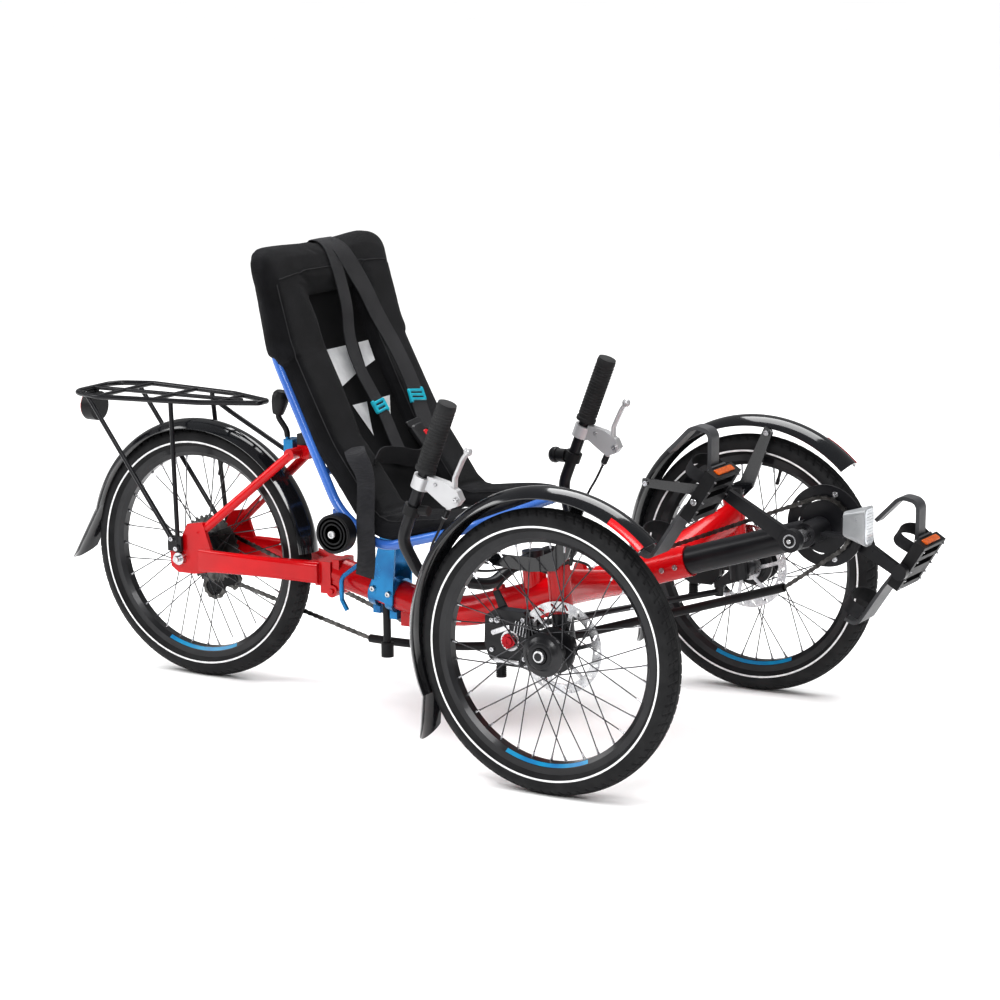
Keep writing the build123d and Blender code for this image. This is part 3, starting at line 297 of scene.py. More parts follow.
def groove(turn_share, lean):
    """How deep the tread is cut at a place: 0 on a block, 1 in a groove."""
    across = abs(lean)
    if across > 1:
        return 0.0
    if 0.2 < across < 0.27:
        return 1.0
    slant = (turn_share + 0.55 * across + (0.5 if lean > 0 else 0.0)) % 1.0
    if across >= 0.27 and slant < 0.2:
        return 1.0
    if 0.6 < across < 0.66 and slant > 0.35:
        return 0.8
    return 0.0


def radial(turn):
    """The way out from an axle, at a turn up from ahead."""
    return Vector((cos(turn), 0, sin(turn)))


def tyre_mesh(centre, outer, half_width, bead_radius, bead_half):
    """The tread and side walls of one tyre."""
    leans = [radians(-100 + 200 * k / (SECTION_STEPS - 1)) for k in range(SECTION_STEPS)]
    rows = TREAD_PITCHES * STEPS_PER_PITCH
    rings = []
    for row in range(rows):
        share = (row % STEPS_PER_PITCH) / STEPS_PER_PITCH
        section = [(bead_radius, -bead_half)]
        for lean in leans:
            size = half_width - TREAD_DEPTH * groove(share, lean / TREAD_REACH)
            section.append((outer - half_width + size * cos(lean), size * sin(lean)))
        section.append((bead_radius, bead_half))
        way = radial(2 * pi * row / rows)
        rings.append([centre + way * radius + LEFT * across for radius, across in section])
    return skinned(rings, ends=False)


def band(centre, inner, outer, across, first=0.0, last=360.0, steps=180, rise=0.0):
    """A thin flat ring or arc on the side of a wheel, from an inner to an outer radius."""
    side = copysign(1, across)
    rings = []
    for step in range(steps + 1):
        way = radial(radians(first + (last - first) * step / steps))
        rings.append([centre + way * radius + LEFT * (across + side * out) for radius, out in (
            (inner, 0), (outer, rise), (outer, rise + BAND_THICK), (inner, BAND_THICK))])
    return skinned(rings)


tyre_rubber = finish("tyre_rubber", (0.018, 0.018, 0.019), (0.01, 0.01, 0.011), 0.03, 0.6, 0.08,
                     grain=0.0007, depth=0.00008, shine=0.25)
ring_white = finish("reflecting_ring", (0.8, 0.8, 0.8), (0.62, 0.62, 0.63), 0.01, 0.35, 0.1, 0.0006, 0.00003)
rim_blue = finish("rim_blue", (0.004, 0.24, 0.42), (0.006, 0.15, 0.34), 0.03, 0.3, 0.06, 0.0008, 0.00002)
RING_RADIUS = 0.2185
RING_WIDTH = 0.0035
ARC_TURNS = (246, 294)
for wheel in WHEELS:
    low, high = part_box(f"{wheel}_tyre")
    centre = (low + high) / 2
    outer = (high.z - low.z) / 2
    half_width = (high.y - low.y) / 2
    rim_low, rim_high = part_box(f"{wheel}_rim")
    rim_radius = (rim_high.z - rim_low.z) / 2
    rim_half = (rim_high.y - rim_low.y) / 2
    tyre = make_piece(f"{wheel}_tread", [
        tyre_mesh(centre, outer, half_width, rim_radius - 0.003, rim_half - 0.003)],
        tyre_rubber, f"{wheel}_wheel")
    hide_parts(f"{wheel}_tyre")
    across = half_width * sin(acos((RING_RADIUS - (outer - half_width)) / half_width)) + 0.0001
    make_piece(f"{wheel}_reflecting_ring", [
        band(centre, RING_RADIUS - RING_WIDTH / 2, RING_RADIUS + RING_WIDTH / 2, side * across)
        for side in (-1, 1)], ring_white, f"{wheel}_wheel")
    make_piece(f"{wheel}_rim_arc", [
        band(centre, rim_radius - 0.0185, rim_radius - 0.0125, side * (rim_half - 0.0055), *ARC_TURNS, 40,
             0.0046) for side in (-1, 1)], rim_blue, f"{wheel}_wheel")

# Mudguards
# Glossy black moulded plastic shells with a soft flap at the low end.
# A red strip is fixed along the outer edge of each front one.

guard_gloss = finish("guard_gloss", (0.01, 0.011, 0.013), (0.006, 0.006, 0.008), 0.1, 0.12, 0.04,
                     grain=0.004, depth=0.00004, coat=0.6)
dress(guard_gloss, "rear_mudguard", "right_mudguard", "left_mudguard")
STRIP_ARC = (46.4, 62.0)
STRIP_SECTION = [(0.2602, 0.0324), (0.263, 0.0313), (0.2668, 0.0287), (0.2704, 0.025)]
STRIP_SHEET = 0.0011
GUARD_AT = (1.006, 0.2555)
GUARD_SIDE = 0.4
strip_red = finish("strip_red", (0.6, 0.004, 0.01), (0.48, 0.003, 0.008), 0.05, 0.25, 0.05, 0.001, 0.00003,
                   coat=0.3)


def guard_strip(side, steps=28):
    """The thin bent strip that follows the outer side of a front mudguard."""
    first, last = STRIP_ARC
    rings = []
    for k in range(steps + 1):
        way = radial(radians(first + (last - first) * k / steps))
        rings.append([spot(GUARD_AT[0], side * (GUARD_SIDE + out), GUARD_AT[1]) + way * (radius + lift)
                      for lift, line in ((0.0, STRIP_SECTION), (STRIP_SHEET, STRIP_SECTION[::-1]))
                      for radius, out in line])
    return skinned(rings)


for hand, side in HANDS.items():
    make_piece(f"{hand}_guard_strip", [guard_strip(side)], strip_red, f"{hand}_knuckle")

# Seat frame
# A loop of blue powder-coated aluminium tube, bent at the shoulders and the hip, with three cross bars.
# It stands on the main tube by two clamps and leans on the top of the rear stays.

seat_blue = finish("seat_blue", (0.05, 0.17, 0.52), (0.035, 0.12, 0.4), 0.08, 0.28, 0.05,
                   grain=0.0014, depth=0.00004, coat=0.4)
clamp_blue = finish("clamp_blue", (0.01, 0.2, 0.42), (0.006, 0.12, 0.3), 0.04, 0.26, 0.05,
                    grain=0.001, depth=0.00003, metallic=0.6, coat=0.3, edge=0.0008)
dress(seat_blue, "seat_frame")
dress(clamp_blue, "seat_clamps", "latch")

# Seat cover
# A sewn sling of black woven polyester over foam: a top roll, a bolster down each side and a front band.
# Sleeves at the top slide over the tube loop. The foam's swell comes from a short cloth run.

SEAT_CORNERS = [(0.294, 0.864), (0.344, 0.689), (0.43, 0.522), (0.531, 0.388), (0.697, 0.408)]
SEAT_BENDS = [0.26, 0.2, 0.05]
SEAT_STEP = 0.008
PAD_HALF = 0.199
PAD_INNER = 0.082
TOP_ROLL = 0.086
FRONT_BAND = 0.64
SLEEVE_END = 0.176
PAD_SHOULDER = 0.02
PAD_VOXEL = 0.005
PAD_SWELL = 0.006
PAD_STEPS = 14
PAD_PRESSURE = 4.0


def rounded_line():
    """Evenly spaced (x, z) points along the seat's side view, whose corners are rounded."""
    fine = [Vector(SEAT_CORNERS[0])]
    for before, corner, after, bend in zip(SEAT_CORNERS, SEAT_CORNERS[1:], SEAT_CORNERS[2:], SEAT_BENDS):
        corner = Vector(corner)
        way_in = (corner - Vector(before)).normalized()
        way_out = (Vector(after) - corner).normalized()
        reach = bend * tan(way_in.angle(way_out) / 2)
        for k in range(13):
            share = k / 12
            fine.append((corner - way_in * reach * (1 - share)).lerp(corner + way_out * reach * share, share))
    fine.append(Vector(SEAT_CORNERS[-1]))
    return even_points(fine, SEAT_STEP)


def even_points(points, step):
    """The same line with its points at even distances."""
    lengths = [0.0]
    for a, b in zip(points, points[1:]):
        lengths.append(lengths[-1] + (b - a).length)
    count = max(int(lengths[-1] / step), 2)
    even, at = [], 0
    for k in range(count + 1):
        goal = lengths[-1] * k / count
        while at < len(points) - 2 and lengths[at + 1] < goal:
            at += 1
        run = max(lengths[at + 1] - lengths[at], 1e-9)
        even.append(points[at].lerp(points[at + 1], (goal - lengths[at]) / run))
    return even


seat_line = rounded_line()
seat_length = sum((b - a).length for a, b in zip(seat_line, seat_line[1:]))


def on_seat(u, y, lift=0.0):
    """A point on the front of the cover: u metres down from the top edge, y to the left, lift proud of it."""
    inside = min(max(u, 0.0), seat_length)
    place = inside / seat_length * (len(seat_line) - 1)
    k = min(int(place), len(seat_line) - 2)
    ahead = seat_line[min(k + 2, len(seat_line) - 1)] - seat_line[max(k - 1, 0)]
    ahead.normalize()
    here = seat_line[k].lerp(seat_line[k + 1], place - k) + ahead * (u - inside)
    return spot(here.x - ahead.y * lift, y, here.y + ahead.x * lift)


def down_to(z):
    """How far down the cover a height lies, above the hip bend."""
    best = min(range(int(0.52 / SEAT_STEP)), key=lambda k: abs(seat_line[k].y - z))
    return best * seat_length / (len(seat_line) - 1)


def clamp(share):
    """A share kept between 0 and 1."""
    return min(max(share, 0), 1)


def pad_depth(u, across):
    """How far behind the front face the back of the pad lies."""
    foam = 0.024 + 0.01 * clamp((u - 0.2) / 0.3) - 0.022 * clamp((u - 0.56) / 0.12)
    if u < SLEEVE_END and (across > 0.16 or u < 0.036):
        return 0.036 + 0.014 * u / SLEEVE_END
    return foam + max(0.038 - foam, 0) * clamp((across - 0.15) / 0.02) * clamp((0.6 - u) / 0.12)


def pad_point(u, y, back):
    """A point of the pad's skin, with rounded shoulders, corners and a slight dip in the top edge."""
    across = abs(y)
    corner = clamp((across - 0.155) / 0.042)
    slide = 0.038 * (1 - sqrt(1 - corner ** 2)) + 0.003 * max(1 - (across / 0.11) ** 2, 0)
    u_here = u + slide * max(1 - u / 0.25, 0) - (0.02 if back else 0.009) * max(1 - u / 0.05, 0)
    edge = min(PAD_HALF - across, u + 0.004, seat_length - u + 0.004)
    if TOP_ROLL < u < FRONT_BAND:
        edge = min(edge, across - PAD_INNER)
    elif across < PAD_INNER:
        edge = min(edge, TOP_ROLL - u if u < TOP_ROLL else u - FRONT_BAND)
    drop = 0.009 * (1 - clamp(edge / PAD_SHOULDER)) ** 2
    if across > 0.15 and u < SLEEVE_END + 0.01:
        y *= 1 + 0.045 * (across - 0.15) / (PAD_HALF - 0.15)
    return on_seat(u_here, y, drop * 0.5 - pad_depth(u, across) if back else 0.003 - drop)


def pad_skin():
    """The closed skin of the pad: a front, a back and walls round the open middle."""
    rows = round(seat_length / SEAT_STEP)
    columns = round(2 * PAD_HALF / SEAT_STEP)
    index, vertices, faces = {}, [], []

    def corner(k, j, back):
        key = (k, j, back)
        if key not in index:
            index[key] = len(vertices)
            vertices.append(pad_point(seat_length * k / rows, PAD_HALF * (2 * j / columns - 1), back))
        return index[key]

    across = [abs(PAD_HALF * (2 * (j + 0.5) / columns - 1)) for j in range(columns)]
    down = [seat_length * (k + 0.5) / rows for k in range(rows)]
    filled = [(k, j) for k in range(rows) for j in range(columns)
              if across[j] > PAD_INNER or not TOP_ROLL <= down[k] <= FRONT_BAND]
    for k, j in filled:
        square = [(k, j), (k + 1, j), (k + 1, j + 1), (k, j + 1)]
        faces.append([corner(*at, False) for at in square])
        faces.append([corner(*at, True) for at in reversed(square)])
        for side, other in enumerate(((k, j - 1), (k + 1, j), (k, j + 1), (k - 1, j))):
            if other not in filled:
                a, b = square[side], square[(side + 1) % 4]
                faces.append([corner(*b, False), corner(*a, False), corner(*a, True), corner(*b, True)])
    return vertices, faces


def baked(piece):
    """The mesh of a piece as its modifiers leave it."""
    return bpy.data.meshes.new_from_object(piece.evaluated_get(bpy.context.evaluated_depsgraph_get()))


def puff(piece):
    """Swells a closed pad as its filling does, and no point moves further than the cap."""
    remesh = piece.modifiers.new("even_mesh", "REMESH")
    remesh.mode = "VOXEL"
    remesh.voxel_size = PAD_VOXEL
    soften = piece.modifiers.new("soften", "SMOOTH")
    soften.iterations = 5
    piece.data = baked(piece)
    piece.modifiers.clear()
    cloth = piece.modifiers.new("filling", "CLOTH")
    cloth.settings.use_pressure = True
    cloth.settings.uniform_pressure_force = PAD_PRESSURE
    cloth.settings.effector_weights.gravity = 0
    for step in range(1, PAD_STEPS + 1):
        bpy.context.scene.frame_set(step)
    swollen = baked(piece)
    piece.modifiers.clear()
    bpy.context.scene.frame_set(1)
    for vertex, goal in zip(piece.data.vertices, swollen.vertices):
        way = goal.co - vertex.co
        vertex.co += way * min(1, PAD_SWELL / max(way.length, 1e-9))
    finer = piece.modifiers.new("finer", "SUBSURF")
    finer.levels = finer.render_levels = 1
    piece.data = baked(piece)
    piece.modifiers.clear()
    piece.data.shade_smooth()


def woven(name, light, dark, thread, roughness=0.85, depth=0.0003, shine=0.25, sheen=0.2):
    """Woven cloth: threads that cross over the surface, with faded patches."""
    material = finish(name, light, dark, 0.05, roughness, 0.05, grain=thread, depth=depth * 0.3, sheen=sheen,
                      shine=shine)
    tree = material.node_tree
    bump = next(node for node in tree.nodes if node.type == "BUMP")
    place = tree.nodes.new("ShaderNodeTexCoord")
    axes = tree.nodes.new("ShaderNodeSeparateXYZ")
    product = tree.nodes.new("ShaderNodeMath")
    product.operation = "MULTIPLY"
    tree.links.new(place.outputs["Object"], axes.inputs["Vector"])
    for k, axis in enumerate("YZ"):
        scaled = tree.nodes.new("ShaderNodeMath")
        scaled.operation = "MULTIPLY"
        scaled.inputs[1].default_value = 2 * pi / thread
        wave = tree.nodes.new("ShaderNodeMath")
        wave.operation = "SINE"
        tree.links.new(axes.outputs[axis], scaled.inputs[0])
        tree.links.new(scaled.outputs[0], wave.inputs[0])
        tree.links.new(wave.outputs[0], product.inputs[k])
    weave = tree.nodes.new("ShaderNodeBump")
    weave.inputs["Distance"].default_value = depth
    tree.links.new(product.outputs[0], weave.inputs["Height"])
    tree.links.new(bump.outputs["Normal"], weave.inputs["Normal"])
    tree.links.new(weave.outputs["Normal"], tree.nodes["Principled BSDF"].inputs["Normal"])
    return material


cover_black = woven("cover_black", (0.012, 0.012, 0.014), (0.007, 0.007, 0.008), 0.0016, shine=0.12,
                    sheen=0.06)
seat_pad = make_piece("seat_pad", [pad_skin()], cover_black, "frame")
puff(seat_pad)
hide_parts("seat_cover")

# Seat panel
# A black net sling stretched between the bolsters, set back from their faces.
# Windows are cut in its outer layer, each edged with thin black tape; they are filled with a painted white that
# stands for the backdrop seen through the net.

PANEL_HALF = 0.092
PANEL_BACK = -0.016
PANEL_THICK = 0.0014


def panel_point(u, y, proud=0.0):
    """A point on the panel's face, which sags a little between the bolsters."""
    sag = 0.005 * (1 - (y / PANEL_HALF) ** 2)
    return on_seat(u, y, PANEL_BACK - sag + proud)


def sheet_mesh(place, rows, columns, thick):
    """A thin closed sheet from a function of two shares and how proud a face lies."""
    across = range(columns + 1)
    rings = [[place(k / rows, j / columns, proud)
              for proud, order in ((0, 1), (thick, -1)) for j in across[::order]] for k in range(rows + 1)]
    vertices, faces = skinned(rings)
    faces = faces[:-2]
    last = rows * len(rings[0])
    for j in range(columns):
        edge = (2 * columns + 1 - j, 2 * columns - j, j + 1, j)
        faces += [edge, tuple(last + k for k in reversed(edge))]
    return vertices, faces


panel_first, panel_last = TOP_ROLL - 0.012, FRONT_BAND + 0.012
net_black = woven("net_black", (0.006, 0.006, 0.007), (0.003, 0.003, 0.004), 0.0024, 0.8, 0.0006, 0.12, 0.03)
panel = make_piece("seat_panel", [sheet_mesh(
    lambda a, b, proud: panel_point(
        panel_first + (panel_last - panel_first) * a, PANEL_HALF * (2 * b - 1), proud),
    70, 20, PANEL_THICK)], net_black, "frame")

# Painted backdrop: a pale opaque colour for the window patches, standing for the white floor seen through the
# open net.
net_painted_backdrop = woven("net_painted_backdrop", (0.86, 0.87, 0.88), (0.62, 0.63, 0.65), 0.003, 0.7, 0.0008)
WINDOWS = [
    [(-0.082, 0.676), (0.018, 0.679), (0.005, 0.628), (-0.08, 0.611)],
    [(0.052, 0.677), (0.083, 0.681), (0.078, 0.646), (0.043, 0.638)],
    [(-0.05, 0.581), (0.001, 0.58), (-0.026, 0.524), (-0.028, 0.526)],
    [(0.029, 0.579), (0.076, 0.582), (0.042, 0.532), (0.038, 0.532)],
]
HIP_WINDOWS = [
    [(-0.08, 0.56), (-0.02, 0.56), (-0.03, 0.602), (-0.078, 0.596)],
    [(-0.006, 0.56), (0.06, 0.56), (0.045, 0.604), (0.002, 0.604)],
]


def window_mesh(corners, thick, grow):
    """A patch on the panel between four corners, given as (y, distance down the cover)."""
    middle_y, middle_u = (sum(values) / 4 for values in zip(*corners))
    grown = []
    for y, u in corners:
        way = Vector((y - middle_y, u - middle_u))
        way = way * (1 + grow / max(way.length, 1e-6))
        grown.append((middle_y + way.x, middle_u + way.y))

    def place(a, b, proud):
        y, u = (((p * (1 - b) + q * b) * (1 - a) + (s * (1 - b) + r * b) * a) for p, q, r, s in zip(*grown))
        return panel_point(u, y, PANEL_THICK + 0.0001 + proud)

    return sheet_mesh(place, 8, 8, thick)


patches = [[(y, down_to(z)) for y, z in corners] for corners in WINDOWS] + HIP_WINDOWS
# The window patches carry the painted backdrop colour, not a net of their own colour.
make_piece("seat_windows_painted_backdrop", [window_mesh(corners, 0.0009, 0.0) for corners in patches], net_painted_backdrop, "frame")
make_piece("window_tape", [window_mesh(corners, 0.0005, 0.006) for corners in patches], net_black, "frame")

# Seams
# Corded black piping sewn into the joins of the cover.
# It runs down both sides of each bolster and round the top roll.


def heading(points, k):
    """The way a line runs at one of its points."""
    return (points[min(k + 1, len(points) - 1)] - points[max(k - 1, 0)]).normalized()


def tube_mesh(points, radius, sides=8):
    """A round cord or bar along a line of points."""
    u = heading(points, 0).orthogonal()
    rings = []
    for k, point in enumerate(points):
        way = heading(points, k)
        u = (u - way * u.dot(way)).normalized()
        v = way.cross(u)
        turns = [2 * pi * step / sides for step in range(sides)]
        rings.append([point + (u * cos(turn) + v * sin(turn)) * radius for turn in turns])
    return skinned(rings)


pad_tree = BVHTree.FromPolygons([vertex.co for vertex in seat_pad.data.vertices],
                                [polygon.vertices for polygon in seat_pad.data.polygons])


def on_pad(point, proud=0.0):
    """The nearest point of the swollen pad, and a little proud of it."""
    place, normal, _, _ = pad_tree.find_nearest(point)
    return place + normal * proud


def seam(route, radius=0.0011):
    """Piping laid on the pad along a route of (distance down, y)."""
    points = even_points([Vector(at) for at in route], 0.006)
    return tube_mesh([on_pad(on_seat(u, y, 0.004), radius * 0.4) for u, y in points], radius, 6)


piping_black = finish("piping_black", (0.03, 0.03, 0.032), (0.018, 0.018, 0.02), 0.02, 0.6, 0.08, 0.0006,
                      0.0001, shine=0.3)
seams = []
for side in (-1, 1):
    inner = side * (PAD_INNER + 0.012)
    seams.append(seam([(TOP_ROLL + 0.01, inner), (0.3, inner), (0.5, inner), (FRONT_BAND - 0.01, inner)]))
    seams.append(seam([(0.06, side * 0.186), (0.3, side * 0.189), (0.5, side * 0.189), (0.66, side * 0.188)]))
    seams.append(seam([(0.052, side * 0.18), (0.044, side * 0.09), (0.046, 0.0)]))
make_piece("seat_piping", seams, piping_black, "frame")

# Harness
# Flat black nylon webbing that comes over the top roll, with turquoise slide adjusters and a press buckle.
# One broad strap hangs down the right side of the seat.

STRAP_THICK = 0.0018
STRAP_CROWN = 0.0006


def smooth_points(points, step=0.008):
    """A smooth line through points, by an even spline."""
    fine = []
    for k in range(len(points) - 1):
        before = points[max(k - 1, 0)]
        a, b = points[k], points[k + 1]
        after = points[min(k + 2, len(points) - 1)]
        for share in (i / 12 for i in range(12)):
            square, cube = share * share, share * share * share
            fine.append(0.5 * ((2 * a) + (b - before) * share + (2 * before - 5 * a + 4 * b - after) * square
                               + (3 * a - before - 3 * b + after) * cube))
    fine.append(points[-1])
    return even_points(fine, step)


def ribbon(points, width, across, thick=STRAP_THICK):
    """A flat strap along points, slightly bowed; across is the way its width lies."""
    across = Vector(across)
    rings = []
    for k, point in enumerate(points):
        way = heading(points, k)
        side = (across - way * across.dot(way)).normalized()
        face = way.cross(side)
        rings.append([
            point + side * width / 2 * share + face * (top * thick / 2 + STRAP_CROWN * (1 - share ** 2))
            for top in (1, -1) for share in (top * (j / 3 - 1) for j in range(7))])
    return skinned(rings)


def slab(centre, way, side, long, wide, thick, round_by, steps=5):
    """A flat block with rounded corners and softened edges."""
    way = way.normalized()
    side = (side - way * side.dot(way)).normalized()
    face = way.cross(side)
    ring = []
    for quarter, (a, b) in enumerate(((1, 1), (-1, 1), (-1, -1), (1, -1))):
        for step in range(steps + 1):
            turn = pi / 2 * (quarter + step / steps)
            ring.append((a * (long / 2 - round_by) + round_by * cos(turn),
                         b * (wide / 2 - round_by) + round_by * sin(turn)))
    soft = min(thick * 0.3, round_by * 0.6)
    rows = ((-thick / 2, soft), (soft - thick / 2, 0), (thick / 2 - soft, 0), (thick / 2, soft))
    return skinned([[
        centre + way * x * (1 - 2 * inset / long) + side * y * (1 - 2 * inset / wide) + face * height
        for x, y in ring] for height, inset in rows])


webbing_black = woven("webbing_black", (0.026, 0.026, 0.029), (0.015, 0.015, 0.018), 0.0022, 0.75, 0.0005,
                      0.2, 0.1)
ROLL_EDGE = 0.775
STRAP_TOP = ((0.262, 0.002, 0.8), (0.26, 0.003, 0.845), (0.275, 0.004, 0.869))
NARROW_ROUTE = (
    (0.004, 0.845), (0.014, 0.757), (0.006, 0.69), (0, 0.63), (0.012, 0.549), (0.004, 0.5), (-0.002, 0.474))
WIDE_ROUTE = (
    (0.034, 0.845), (0.078, 0.78), (0.104, 0.72), (0.124, 0.66), (0.128, 0.6), (0.12, 0.54), (0.104, 0.505))
HIP_ROUTE = ((-0.12, 0.47), (-0.08, 0.486), (-0.03, 0.476), (0.02, 0.466), (0.058, 0.472))
SIDE_ROUTE = (
    (0.452, -0.15, 0.512), (0.48, -0.186, 0.506), (0.512, -0.206, 0.47), (0.514, -0.212, 0.392),
    (0.512, -0.208, 0.33), (0.505, -0.204, 0.288))


def strap_points(route, lift, top=()):
    """A strap's line down the front of the seat through (y, height) pairs, lifted off the cover."""
    return smooth_points([*top, *(on_seat(down_to(z), y, lift(z)) for y, z in route)])


strap_top = [spot(*place) for place in STRAP_TOP]
narrow_points = strap_points(NARROW_ROUTE, lambda z: 0.01 - 0.012 * clamp((ROLL_EDGE - z) / 0.1), strap_top)
wide_points = strap_points(WIDE_ROUTE, lambda z: 0.01 if z > ROLL_EDGE else 0.009,
                           [point + LEFT * 0.022 for point in strap_top])
harness = make_piece("harness_webbing", [
    ribbon(narrow_points, 0.036, LEFT), ribbon(wide_points, 0.047, LEFT),
    ribbon(strap_points(HIP_ROUTE, lambda z: 0.006), 0.034, (0.3, 0, 1)),
    ribbon(smooth_points([spot(*place) for place in SIDE_ROUTE]), 0.038, (1, 0, 0.1))],
    webbing_black, "frame")
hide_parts("harness")

adjuster_blue = finish("adjuster_turquoise", (0.01, 0.42, 0.52), (0.008, 0.3, 0.42), 0.02, 0.35, 0.06, 0.0008,
                       0.00005)
adjuster_parts = []
for points, share, width in ((narrow_points, 0.8, 0.04), (wide_points, 0.86, 0.05)):
    k = int(len(points) * share)
    way = heading(points, k)
    adjuster_parts += [slab(points[k] + way * offset, way, LEFT, 0.006, width, 0.007, 0.0025)
                       for offset in (-0.009, 0.0, 0.009)]
    adjuster_parts += [
        slab(points[k] + LEFT * side * (width / 2 - 0.003), way, LEFT, 0.026, 0.007, 0.0074, 0.0025)
        for side in (-1, 1)]
make_piece("strap_adjusters", adjuster_parts, adjuster_blue, "frame")
buckle_at = on_seat(down_to(0.492), 0.07, 0.012)
buckle_way = (on_seat(down_to(0.47), 0.07) - on_seat(down_to(0.51), 0.066)).normalized()
buckle_black = finish("buckle_black", (0.02, 0.02, 0.022), (0.012, 0.012, 0.013), 0.02, 0.4, 0.08, 0.0007,
                      0.00005)
make_piece("buckle", [
    slab(buckle_at, buckle_way, LEFT, 0.062, 0.04, 0.014, 0.008),
    slab(buckle_at - buckle_way * 0.034, buckle_way, LEFT, 0.014, 0.046, 0.008, 0.003)],
    buckle_black, "frame")
button_red = finish("button_red", (0.6, 0.01, 0.02), (0.45, 0.006, 0.012), 0.01, 0.35, 0.06, 0.0008, 0.00003)
button_at = buckle_at + buckle_way * 0.004 + buckle_way.cross(LEFT) * 0.0065 + LEFT * 0.01
make_piece("buckle_button", [
    slab(button_at, buckle_way, LEFT, 0.034, 0.014, 0.004, 0.003)], button_red, "frame")

# Grips
# Soft black rubber sleeves pushed on the bar ends, with moulded ribs, a collar below and a rounded end.

BAR_ROOT = (0.641, 0.385)
BAR_TOP = (0.738, 0.633)
BAR_SIDE = 0.29
GRIP_LONG = 0.128
GRIP_ROUND = 0.017
grip_way = Vector((BAR_TOP[0] - BAR_ROOT[0], 0, BAR_TOP[1] - BAR_ROOT[1])).normalized()


def grip_spot(side, below):
    """A point of a grip's axis, below its top end."""
    return spot(BAR_TOP[0], side * BAR_SIDE, BAR_TOP[1]) - grip_way * below


def ribbed(first, pitch, count, marks):
    """The same few points of an outline, again at every rib."""
    return [(first + pitch * rib + at, size) for rib in range(count) for at, size in marks]


grip_rubber = finish("grip_rubber", (0.03, 0.03, 0.031), (0.018, 0.018, 0.019), 0.03, 0.62, 0.08,
                     grain=0.0009, depth=0.0002, shine=0.3)
dress(grip_rubber, "grips")
grip_ribs = [
    (0.0, 0.0022), (0.006, 0.0022), (0.008, 0.0003),
    *ribbed(0.012, 0.0062, 17, ((0, 0.0003), (0.0012, 0.0013), (0.0032, 0.0013), (0.0044, 0.0003))),
    (GRIP_LONG - 0.006, 0.0012), (GRIP_LONG - 0.0005, 0.0006), (GRIP_LONG + 0.0032, -0.003),
    (GRIP_LONG + 0.004, -0.009)]
grip_outline = [(at, GRIP_ROUND + proud) for at, proud in grip_ribs]
for hand, side in HANDS.items():
    make_piece(f"{hand}_grip_ribs", [
        turned(grip_spot(side, GRIP_LONG), grip_way, grip_outline, 32)], grip_rubber, "handlebar")

# Brake levers, bell and shifter
# Forged aluminium levers in cast brackets, each clamped by one screw, with a barrel adjuster for its cable.

lever_silver = finish("lever_silver", (0.62, 0.62, 0.63), (0.52, 0.52, 0.53), 0.12, 0.34, 0.05, 0.001,
                      0.00002, metallic=0.45, edge=0.0008)
dress(lever_silver, "brake_levers")
ADJUSTER_TOP = (0.741, 0.458)
ADJUSTER_END = (0.729, 0.433)
LEVER_SCREWS = ((0.758, 0.01, 0.468, 0.0095, 0.0035), (0.716, 0.008, 0.492, 0.007, 0.003))
adjuster = [(0.01, 0.0062), *ribbed(0.012, 0.003, 5, ((0, 0.0066), (0.0015, 0.0056))), (0.0285, 0.004),
            (0.031, 0.003)]
lever_bits, lever_blacks = [], []
for side in HANDS.values():
    top, end = (spot(x, side * BAR_SIDE, z) for x, z in (ADJUSTER_TOP, ADJUSTER_END))
    lever_blacks.append(turned(top, end - top, adjuster, 16))
    lever_bits += [cap_screw(spot(x, side * BAR_SIDE + way * y, z), LEFT * way, head, high)
                   for way in (-1, 1) for x, y, z, head, high in LEVER_SCREWS]
make_piece("lever_screws", lever_bits, bright_steel, "handlebar")
make_piece("lever_adjusters", lever_blacks, black_steel, "handlebar")
make_piece("bell_dome", [turned(grip_spot(1, 0.205) - AHEAD * 0.0342, -AHEAD, [
    (0.0, 0.015), (0.004, 0.0158), (0.01, 0.0148), (0.014, 0.0115), (0.0165, 0.006), (0.0172, 0.0015)], 28)],
    black_steel, "handlebar")

# Brake cables
# A black sheathed cable runs from each lever down along the bar, up to the cross arm, and on to the caliper.
# It is tied to the bar and the arm, and is drawn in two runs across the two steering axes, each left on no
# body.

CABLE_ROUND = 0.0024
CABLE_ON_BAR = [
    (0.7285, 0.29, 0.432), (0.716, 0.29, 0.406), (0.698, 0.288, 0.377), (0.69, 0.274, 0.349),
    (0.696, 0.242, 0.334), (0.718, 0.198, 0.321), (0.744, 0.15, 0.311), (0.764, 0.102, 0.316),
    (0.795, 0.062, 0.32), (0.85, 0.05, 0.324), (0.9, 0.068, 0.322), (0.918, 0.12, 0.318), (0.932, 0.198, 0.33),
    (0.939, 0.262, 0.344)]
CABLE_ON_KNUCKLE = [
    (0.939, 0.262, 0.344), (0.938, 0.296, 0.358), (0.918, 0.326, 0.372), (0.888, 0.3425, 0.362),
    (0.8655, 0.343, 0.331)]
cable_black = finish("cable_black", (0.02, 0.02, 0.021), (0.012, 0.012, 0.013), 0.03, 0.45, 0.06, 0.0006,
                     0.00003, shine=0.35)


